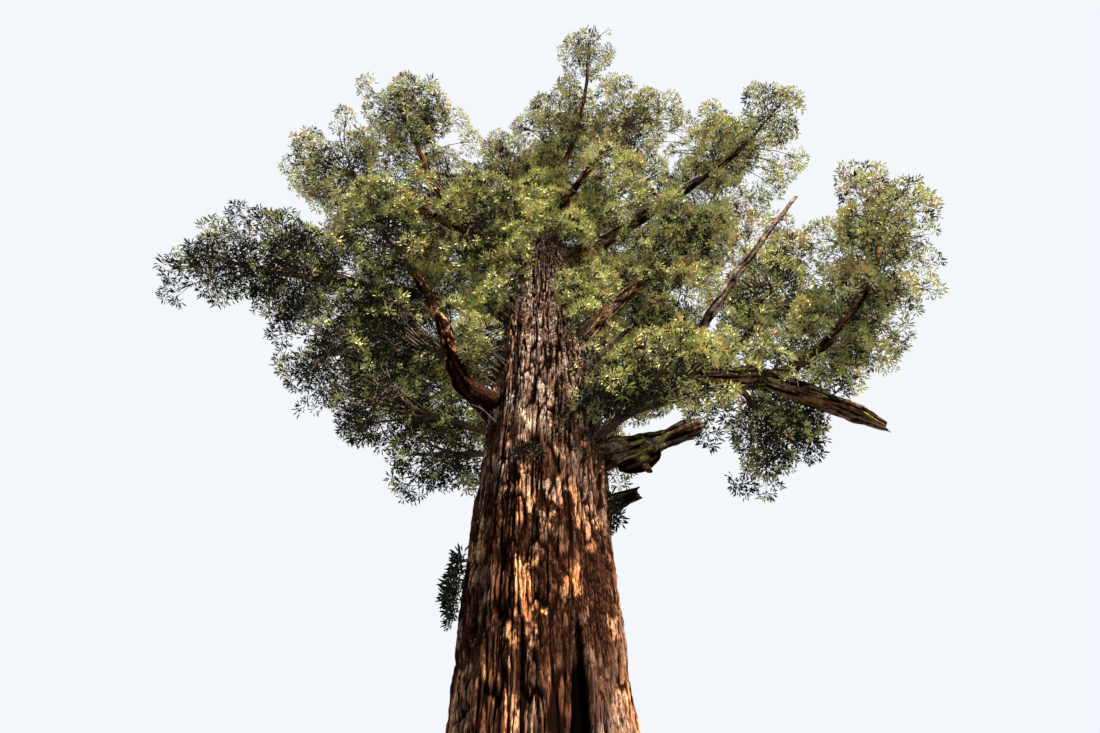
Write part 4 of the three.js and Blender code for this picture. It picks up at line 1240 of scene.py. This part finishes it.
class Growth:
    """Sprays as they grow round the limbs, added to a piece's branches, shoots, twigs and tufts"""

    def __init__(self, around, seed, parts):
        self.around = around
        self.rng = np.random.default_rng(seed)
        self.parts = parts

    def add_clump(self, stem, thick, share, hub, size, centre, planes=None, spacing=TUFT_SPACING):
        """A branch from the stem to a clump, shoots that fan out in it, and a twig to each tuft"""
        rng = self.rng
        parts = self.parts
        outward = unit(hub - centre + 0.25 * size * UP)
        root = stem.at(share)
        bend = 0.5 * (root + hub) + BRANCH_BOW * np.linalg.norm(hub - root) * unit(stem.direction(share))
        branch = Curve(root, bend, hub)
        thick = max(THINNEST_BRANCH, thick * (1 - BRANCH_TAPER * share) * BRANCH_SHARE)
        parts["branches"].append((branch, thick))
        count = round(4 * math.pi * size ** 2 / spacing ** 2)
        ways = ball_points(count, rng.random() * FULL_TURN, np.ones(count))
        lean = ways @ unit(outward + 0.5 * UP)
        ways = ways[lean > LEAST_LEAN]
        if not len(ways):
            return
        tufts = hub + ways * size * rng.uniform(*CLUMP_SPREAD, (len(ways), 1)) * CLUMP_SHAPE
        inside = self.has_room(tufts, centre, planes)
        tufts = tufts[inside]
        ways = ways[inside]
        if not len(tufts):
            return
        hubs = ball_points(SHOOT_HUBS, rng.random() * FULL_TURN, np.ones(SHOOT_HUBS))
        hubs = hub + unit(hubs + 0.6 * outward) * size * 0.5
        nearest = np.linalg.norm(tufts[:, None] - hubs[None], axis=-1).argmin(axis=1)
        for k in np.unique(nearest):
            parts["shoots"].append((branch.at(SHOOT_FROM), hubs[k], SHOOT_SHARE * thick))
        own, shared, upright, chance = TUFT_LEAN
        axes = unit(own * ways + shared * outward + upright * UP + rng.normal(0, chance, ways.shape))
        for k, tuft, axis in zip(nearest, tufts, axes):
            parts["twigs"].append((hubs[k], tuft, axis))
        out, up, chance, far = EXPOSURE
        lit = out * ways @ outward + up * ways[:, 2] + chance * rng.normal(size=len(ways))
        reach = np.linalg.norm(tufts - centre, axis=1)
        parts["tufts"].append(np.column_stack([tufts, axes, lit + far * reach]))

    def has_room(self, tufts, centre, planes):
        """Whether each tuft is clear of limbs, gaps, the neighbours' spaces and the tree's outer box"""
        inside = (self.around.clearance(tufts) > TUFT_CLEARANCE) & ~self.around.hides_limb(tufts)
        if planes:
            inside &= room_at(tufts, centre, planes) > WALL_CLEARANCE
        inside &= tufts[:, 2] < TOP_LIMIT - TUFT_REACH
        inside &= (tufts > SOLID_BOX[0] - SPREAD_BEYOND + TUFT_REACH).all(axis=1)
        return inside & (tufts < SOLID_BOX[1] + SPREAD_BEYOND - TUFT_REACH * FLAT).all(axis=1)

    def shade(self, amount, first=0):
        """Draws the tufts from a given one on towards the dark tones: painted shade"""
        for tufts in self.parts["tufts"][first:]:
            tufts[:, LIT] -= amount

    def add_side_spray(self, curve, share, root, way, thick):
        """A leafy shoot off a limb or the trunk, where there is room"""
        size = self.rng.uniform(*SPRAY_SIZES)
        hub = root + way * (thick + size * self.rng.uniform(*SPRAY_REACH))
        if self.around.clearance(hub[None])[0] > SPRAY_CLEARANCE:
            self.add_clump(curve, 0.5 * thick + 0.03, share, hub, size, root)

    def add_trunk_spray(self, heading, height, size, lift, spacing=TUFT_SPACING):
        """A leafy shoot straight from the trunk's bark"""
        way = unit(np.array([math.cos(heading), math.sin(heading), 0.35]))
        root = axis_at(height) + way * FLAT * float(mean_radius(height)) * 0.95
        stub = Curve(root, root + 0.5 * way, root + way)
        self.add_clump(stub, 0.05, 0.0, root + way * (size + lift), size, root, spacing=spacing)

    def add_cover(self, heading, reach, height):
        """A leafy shoot from the trunk to a given place"""
        foot = axis_at(height - 0.5)
        hub = place_at(heading, reach, height)
        way = unit((hub - foot) * FLAT)
        root = foot + way * float(mean_radius(height)) * 0.95
        stub = Curve(root, root + 0.3 * way, root + way)
        self.add_clump(stub, 0.05, 0.0, hub, COVER_SIZE, root)

    def add_fillers(self, fillers, thick):
        """Sprays from limbs to given places"""
        for name, *rows in fillers:
            curve = self.around.limbs[name]["curve"]
            for share, heading, reach, height, size in rows:
                self.add_clump(curve, thick, share, place_at(heading, reach, height), size, curve.at(share))


def even_heights(low, high, count, rng):
    """Heights from low to high in even steps, each drawn from its step when it is needed"""
    for k in range(count):
        yield k, low + (high - low) * (k + rng.random()) / count


def add_limb_sprays(growth, name, limb):
    """Small leafy shoots along a live limb, turned by the golden angle"""
    curve = limb["curve"]
    first = limb["start"] + 0.5 / curve.length
    last = 0.8 if name == "giant_bough" else 1.0
    count = int((last - first) * curve.length * LIMBS[name].get("leafy", 1) / SIDE_STEP)
    for k, share in even_heights(first, last, count, growth.rng):
        root = curve.at(share)
        tangent = curve.direction(share)
        across = unit(np.cross(tangent, UP))
        turn = k * GOLDEN_TURN + growth.rng.random()
        way = across * math.cos(turn) + np.cross(tangent, across) * math.sin(turn)
        way = unit(way + 0.4 * tangent + 0.45 * UP)
        growth.add_side_spray(curve, share, root, way, limb["tip"])


def add_trunk_sprays(growth):
    """Leafy shoots up the trunk's sides, then the veil before it, with a window where its front shows"""
    rng = growth.rng
    for k, height in even_heights(SPRAYS_FROM, SPRAYS_TO, TRUNK_SPRAYS, rng):
        heading = k * GOLDEN_TURN + rng.random()
        if height < WINDOW_TOP and math.cos(heading - WINDOW_HEADING) > math.cos(WINDOW_HALF_WIDTH):
            continue
        way = unit(np.array([math.cos(heading), math.sin(heading), 0.5]))
        root = axis_at(height) + way * FLAT * float(mean_radius(height)) * 0.9
        growth.add_side_spray(Curve(root, root + 0.5 * way, root + way), 0.0, root, way, 0.06)
    for _, height in even_heights(VEIL_FROM, VEIL_TO, VEIL_SPRAYS, rng):
        heading = WINDOW_HEADING + rng.uniform(-VEIL_SPREAD, VEIL_SPREAD)
        if height < VEIL_OPEN and abs(heading - WINDOW_HEADING) < VEIL_GAP:
            continue
        lift = rng.uniform(*VEIL_LIFT)
        growth.add_trunk_spray(heading, height, rng.uniform(*VEIL_SIZES), lift)


def add_leader_sprays(growth):
    """Leafy shoots round the leader's top, shorter towards its tip"""
    rng = growth.rng
    for k, height in even_heights(LEADER_FROM, LEADER_TO, LEADER_SPRAYS, rng):
        taper = (LEADER_TO - height) / (LEADER_TO - LEADER_FROM)
        lift = LEADER_LIFT + taper * rng.uniform(*LEADER_REACH)
        growth.add_trunk_spray(k * GOLDEN_TURN, height, rng.uniform(*LEADER_SIZES), lift)


def grow_side_sprays(around):
    """Small leafy shoots along the live limbs and up the trunk, and the sprays that have a given place"""
    parts = no_parts()
    growth = Growth(around, SEED + 500, parts)
    for name, limb in around.limbs.items():
        if name not in DEAD_LIMBS:
            add_limb_sprays(growth, name, limb)
    add_trunk_sprays(growth)
    growth.add_fillers(FILLERS, 0.06)
    lit = len(parts["tufts"])
    growth.add_fillers(LOW_FILLERS, 0.05)
    growth.shade(COVER_SHADE, lit)
    add_leader_sprays(growth)
    lit = len(parts["tufts"])
    for place in LOW_COVER:
        growth.add_cover(*place)
    growth.shade(COVER_SHADE, lit)
    # Tufts low on the left are drawn towards the dark tones: painted shade on the side away from the sun
    for tufts in parts["tufts"]:
        on_left = (tufts[:, 0] < LEFT_EDGE) & (tufts[:, 2] < LEFT_TOP)
        tufts[on_left, LIT] -= LEFT_SHADE
    lit = len(parts["tufts"])
    for heading, height, size in SPRIGS:
        growth.add_trunk_spray(math.radians(heading), height, size, -0.3 * size, SPRIG_SPACING)
    growth.shade(SPRIG_SHADE, lit)
    return parts


def needle_mesh(tufts, rng):
    """Rounded tufts of short blades that stand out all over the outer side of each tuft"""
    bases = tufts[:, :3]
    axes = tufts[:, 3:6]
    count = len(bases)
    side = np.cross(axes, UP)
    side[np.linalg.norm(side, axis=1) < 0.1] = [1, 0, 0]
    side = unit(side)
    other = np.cross(axes, side)
    k = np.arange(STRANDS)
    tilt_stray, turn_stray, way_stray = STRAND_STRAY
    polar = np.arccos(1 - (k + 0.5) / STRANDS * 1.02)[None] + rng.normal(0, tilt_stray, (count, STRANDS))
    turn = k * GOLDEN_TURN + rng.random((count, 1)) * FULL_TURN
    turn = turn + rng.normal(0, turn_stray, (count, STRANDS))
    ways = (axes[:, None] * np.cos(polar)[..., None]
            + side[:, None] * (np.sin(polar) * np.cos(turn))[..., None]
            + other[:, None] * (np.sin(polar) * np.sin(turn))[..., None])
    large = rng.uniform(*TUFT_SIZES, (count, 1))
    start = large * rng.uniform(*STRAND_STARTS, (count, STRANDS)) * TUFT_RADIUS
    roots = bases[:, None] + ways * start[..., None]
    ways = unit(ways + rng.normal(0, way_stray, ways.shape))
    size = large * rng.uniform(*STRAND_SIZES, (count, STRANDS)) * STRAND_LENGTH
    return strand_mesh(roots.reshape(-1, 3), ways.reshape(-1, 3), size.ravel())


def two_across(ways):
    """Two unit vectors across each of many ways"""
    side = unit(np.cross(ways, ASKEW))
    return side, np.cross(ways, side)


def strand_mesh(roots, ways, lengths):
    """Slim pointed blades, each folded along its middle: two faces"""
    side, other = two_across(ways)
    width = (STRAND_WIDTH * lengths / STRAND_LENGTH)[:, None]
    points = np.empty((len(roots), 4, 3))
    points[:, 0] = roots
    points[:, 1] = roots + ways * (0.50 * lengths)[:, None] + width * (side + 0.5 * other)
    points[:, 2] = roots + ways * lengths[:, None]
    points[:, 3] = roots + ways * (0.62 * lengths)[:, None] - width * (side - 0.5 * other)
    return points.reshape(-1, 3), repeated(np.array([[0, 1, 2], [0, 2, 3]]), len(roots), 4)


def curved_tubes(curves, rings, sides, tip_share):
    shares = np.linspace(0, 1, rings)
    paths = np.stack([curve.at(shares) for curve, _ in curves])
    roots = np.array([radius for _, radius in curves])
    radii = roots[:, None] * (1 + (tip_share - 1) * shares[None] ** 0.8)
    return tube_bundle(paths, radii, sides)


def shoot_tubes(shoots):
    starts = np.array([shoot[0] for shoot in shoots])
    ends = np.array([shoot[1] for shoot in shoots])
    thick = np.array([shoot[2] for shoot in shoots])
    middles = 0.5 * (starts + ends) + 0.08 * np.linalg.norm(ends - starts, axis=1)[:, None] * UP
    radii = thick[:, None] * np.array([1, 0.8, 0.6])
    return tube_bundle(np.stack([starts, middles, ends], axis=1), radii, 3)


def twig_cones(twigs):
    """Slim three-sided twigs that end in a point inside their tufts"""
    starts = np.array([twig[0] for twig in twigs])
    axes = np.array([twig[2] for twig in twigs])
    ends = np.array([twig[1] for twig in twigs]) + 0.12 * axes
    side, other = two_across(unit(ends - starts))
    points = np.empty((len(starts), 4, 3))
    for k in range(3):
        angle = 2 * math.pi * k / 3
        points[:, k] = starts + TWIG_RADIUS * (math.cos(angle) * side + math.sin(angle) * other)
    points[:, 3] = ends
    return points.reshape(-1, 3), repeated(np.array([[0, 1, 3], [1, 2, 3], [2, 0, 3]]), len(starts), 4)


def tone_of(tufts, weights):
    """Which tone each tuft takes by how far it is lit: the dark one, a painted shade, goes to the inner and
    lower tufts, the pale yellow-green one, a painted sunlight, to the outer ones, and the gold to the tips
    """
    rank = np.empty(len(tufts))
    rank[np.argsort(tufts[:, LIT])] = (np.arange(len(tufts)) + 0.5) / len(tufts)
    return np.searchsorted(np.cumsum(weights)[:-1], rank)


def build_region(region, around, materials):
    names, weights = REGIONS[region]
    parts = no_parts()
    for name in names:
        grow_mass(name, around, parts)
    build_sprays(region, parts, weights, ["foliage_" + name for name in names], materials)


def build_sprays(region, parts, weights, nodes, materials):
    """The pieces of one region: its branches, its twigs, and its needles by tone"""
    wood = [curved_tubes(parts["branches"], 6, 5, 0.5)]
    if parts["stems"]:
        wood.append(curved_tubes(parts["stems"], 16, 10, 0.35))
    twigs = [shoot_tubes(parts["shoots"]), twig_cones(parts["twigs"])]
    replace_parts(mesh_piece("branches_" + region, *joined(wood), materials["branch"], "bark"), *nodes)
    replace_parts(mesh_piece("twigs_" + region, *joined(twigs), materials["twig"], "bark"), *nodes)
    tufts = np.concatenate(parts["tufts"])
    tones = tone_of(tufts, weights)
    rng = np.random.default_rng(SEED + len(region))
    for number, tone in enumerate(TONES):
        needles = needle_mesh(tufts[tones == number], rng)
        piece = mesh_piece(f"needles_{tone}_{region}", *needles, materials[tone], "foliage")
        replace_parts(piece, *nodes)


# Materials

class Nodes:
    """A material's nodes, added and linked by short calls"""

    def __init__(self, name):
        self.material = bpy.data.materials.new(name)
        self.material.use_nodes = True
        self.tree = self.material.node_tree
        self.shader = self.tree.nodes["Principled BSDF"]

    def add(self, kind, **values):
        node = self.tree.nodes.new(kind)
        for key, value in values.items():
            setattr(node, key, value)
        return node

    def link(self, output, socket):
        self.tree.links.new(output, socket)

    def surface(self, roughness, shine):
        """The finished material, its shader's plain numbers set"""
        self.shader.inputs["Roughness"].default_value = roughness
        self.shader.inputs["Specular IOR Level"].default_value = shine
        return self.material

    def fact(self, name, output="Fac"):
        return self.add("ShaderNodeAttribute", attribute_name=name).outputs[output]

    def noise(self, vector, scale, stretch, detail):
        """Noise read through coordinates squeezed across and drawn out along the grain"""
        mapping = self.add("ShaderNodeMapping")
        mapping.inputs["Scale"].default_value = (1, 1, stretch)
        self.link(vector, mapping.inputs["Vector"])
        noise = self.add("ShaderNodeTexNoise")
        noise.inputs["Scale"].default_value = scale
        noise.inputs["Detail"].default_value = detail
        noise.inputs["Roughness"].default_value = NOISE_ROUGHNESS
        self.link(mapping.outputs["Vector"], noise.inputs["Vector"])
        return noise.outputs["Fac"]

    def ramp(self, value, low, high):
        node = self.add("ShaderNodeMapRange")
        node.inputs["From Min"].default_value = low
        node.inputs["From Max"].default_value = high
        self.link(value, node.inputs["Value"])
        return node.outputs["Result"]

    def product(self, first, second):
        node = self.add("ShaderNodeMath", operation="MULTIPLY")
        self.link(first, node.inputs[0])
        self.link(second, node.inputs[1])
        return node.outputs["Value"]

    def mix(self, factor, first, second):
        """A blend of two colours, each a socket or a plain colour"""
        node = self.add("ShaderNodeMix", data_type="RGBA")
        self.link(factor, node.inputs["Factor"])
        for socket, colour in ((node.inputs[6], first), (node.inputs[7], second)):
            if isinstance(colour, tuple):
                socket.default_value = (*colour, 1)
            else:
                self.link(colour, socket)
        return node.outputs[2]

    def bump(self, height, strength, distance, normal=None):
        node = self.add("ShaderNodeBump")
        node.inputs["Strength"].default_value = strength
        node.inputs["Distance"].default_value = distance
        self.link(height, node.inputs["Height"])
        if normal:
            self.link(normal, node.inputs["Normal"])
        return node.outputs["Normal"]


def bark_material(name, low, high, grey, stretch):
    """Fibrous bark: streaks along the grain; weathered, bleached, mossy and charred places; painted shade in
    its furrows and cracks, and a painted dappled shadow over it
    """
    nodes = Nodes(name)
    grain = nodes.fact("grain", "Vector")
    noises = {key: nodes.noise(grain, scale, share * stretch, detail)
              for key, (scale, detail, share) in GRAIN_NOISE.items()}
    for key, (scale, detail, drawn) in SPOT_NOISE.items():
        noises[key] = nodes.noise(grain, scale, drawn, detail)
    colour = nodes.mix(nodes.ramp(noises["streaks"], *STREAK_ENDS), low, high)
    for noise, ends, fact, tint in BARK_LAYERS:
        masks = [nodes.ramp(noises[noise], *ends)] if noise else []
        masks += [nodes.fact(fact)] if fact else []
        mask = nodes.product(*masks) if len(masks) == 2 else masks[0]
        colour = nodes.mix(mask, colour, tint or grey)
    nodes.link(colour, nodes.shader.inputs["Base Color"])
    coarse = nodes.bump(noises["cracks"], 0.9, 0.045)
    nodes.link(nodes.bump(noises["fibres"], 0.7, 0.015, coarse), nodes.shader.inputs["Normal"])
    return nodes.surface(*BARK_SURFACE)


def speckled(nodes, scale, detail, ends, first, second):
    """Noise through the object's own space that deals out two colours; the noise is handed back"""
    place = nodes.add("ShaderNodeTexCoord").outputs["Object"]
    noise = nodes.noise(place, scale, 1.0, detail)
    nodes.link(nodes.mix(nodes.ramp(noise, *ends), first, second), nodes.shader.inputs["Base Color"])
    return noise


def twig_material(name, dark, light):
    nodes = Nodes(name)
    patches = speckled(nodes, 14.0, 4.0, (0.35, 0.65), dark, light)
    nodes.link(nodes.bump(patches, 0.5, 0.01), nodes.shader.inputs["Normal"])
    return nodes.surface(*TWIG_SURFACE)


def needle_material(tone, colour):
    """One tone of needles, a little lighter and darker from place to place"""
    nodes = Nodes("needles_" + tone)
    darker = tuple(DARKER * c for c in colour)
    lighter = tuple(LIGHTER * c for c in colour)
    speckled(nodes, 5.0, 2.0, (0.3, 0.7), darker, lighter)
    return nodes.surface(*NEEDLE_SURFACE)


def make_materials():
    made = {name: bark_material(name, **look) for name, look in BARKS.items()}
    made |= {name: twig_material(name + "_bark", *colours) for name, colours in TWIG_COLOURS.items()}
    return made | {tone: needle_material(tone, colour) for tone, colour in TONES.items()}


# The scene

def make_camera():
    camera = bpy.data.objects.new("camera", bpy.data.cameras.new("camera"))
    camera.data.lens = CAMERA_LENS
    camera.data.sensor_width = CAMERA_SENSOR
    camera.data.clip_start, camera.data.clip_end = CAMERA_CLIP
    turns = Matrix.Translation(CAMERA_PLACE)
    for angle, axis in ((CAMERA_HEADING, "Z"), (CAMERA_TILT, "X"), (CAMERA_ROLL, "Z")):
        turns = turns @ Matrix.Rotation(math.radians(angle), 4, axis)
    camera.matrix_world = turns
    bpy.context.scene.collection.objects.link(camera)
    bpy.context.scene.camera = camera


def make_floor():
    mesh = bpy.data.meshes.new("floor")
    half = FLOOR_SIZE / 2
    corners = [(x * half, y * half, FLOOR_HEIGHT) for x, y in ((-1, -1), (1, -1), (1, 1), (-1, 1))]
    mesh.from_pydata(corners, [], [(0, 1, 2, 3)])
    floor = bpy.data.objects.new("floor", mesh)
    nodes = Nodes("floor")
    nodes.shader.inputs["Base Color"].default_value = FLOOR_COLOUR
    mesh.materials.append(nodes.surface(*FLOOR_SURFACE))
    bpy.context.scene.collection.objects.link(floor)


def make_sun(name, way, strength, angle, colour):
    light = bpy.data.objects.new(name, bpy.data.lights.new(name, "SUN"))
    light.data.energy = strength
    light.data.angle = math.radians(angle)
    light.data.color = colour
    z_axis = unit(way)
    x_axis = unit(np.cross(UP, z_axis))
    y_axis = np.cross(z_axis, x_axis)
    basis = Matrix([[*row] for row in np.column_stack([x_axis, y_axis, z_axis]).tolist()])
    light.matrix_world = basis.to_4x4()
    bpy.context.scene.collection.objects.link(light)


def make_world():
    """Soft light from all round, before a plain pale backdrop that lights nothing"""
    world = bpy.data.worlds.new("studio")
    world.use_nodes = True
    tree = world.node_tree
    ambient = tree.nodes["Background"]
    backdrop = tree.nodes.new("ShaderNodeBackground")
    for node, look in ((ambient, AMBIENT), (backdrop, BACKDROP)):
        node.inputs["Color"].default_value = look["colour"]
        node.inputs["Strength"].default_value = look["strength"]
    ray = tree.nodes.new("ShaderNodeLightPath")
    mix = tree.nodes.new("ShaderNodeMixShader")
    tree.links.new(ray.outputs["Is Camera Ray"], mix.inputs[0])
    tree.links.new(ambient.outputs[0], mix.inputs[1])
    tree.links.new(backdrop.outputs[0], mix.inputs[2])
    tree.links.new(mix.outputs[0], tree.nodes["World Output"].inputs["Surface"])
    bpy.context.scene.world = world


bpy.context.scene.view_settings.view_transform = "Standard"
make_camera()
make_floor()
make_world()
for sun_name, sun in SUNS.items():
    make_sun(sun_name, **sun)
MATERIALS = make_materials()
LIMBS_GROWN = grow_limbs()
build_trunk(LIMBS_GROWN, MATERIALS["bark"])
build_limbs(LIMBS_GROWN, MATERIALS)
AROUND = Surroundings(LIMBS_GROWN)
for region_name in REGIONS:
    build_region(region_name, AROUND, MATERIALS)
build_sprays("side", grow_side_sprays(AROUND), SIDE_TONES, [], MATERIALS)
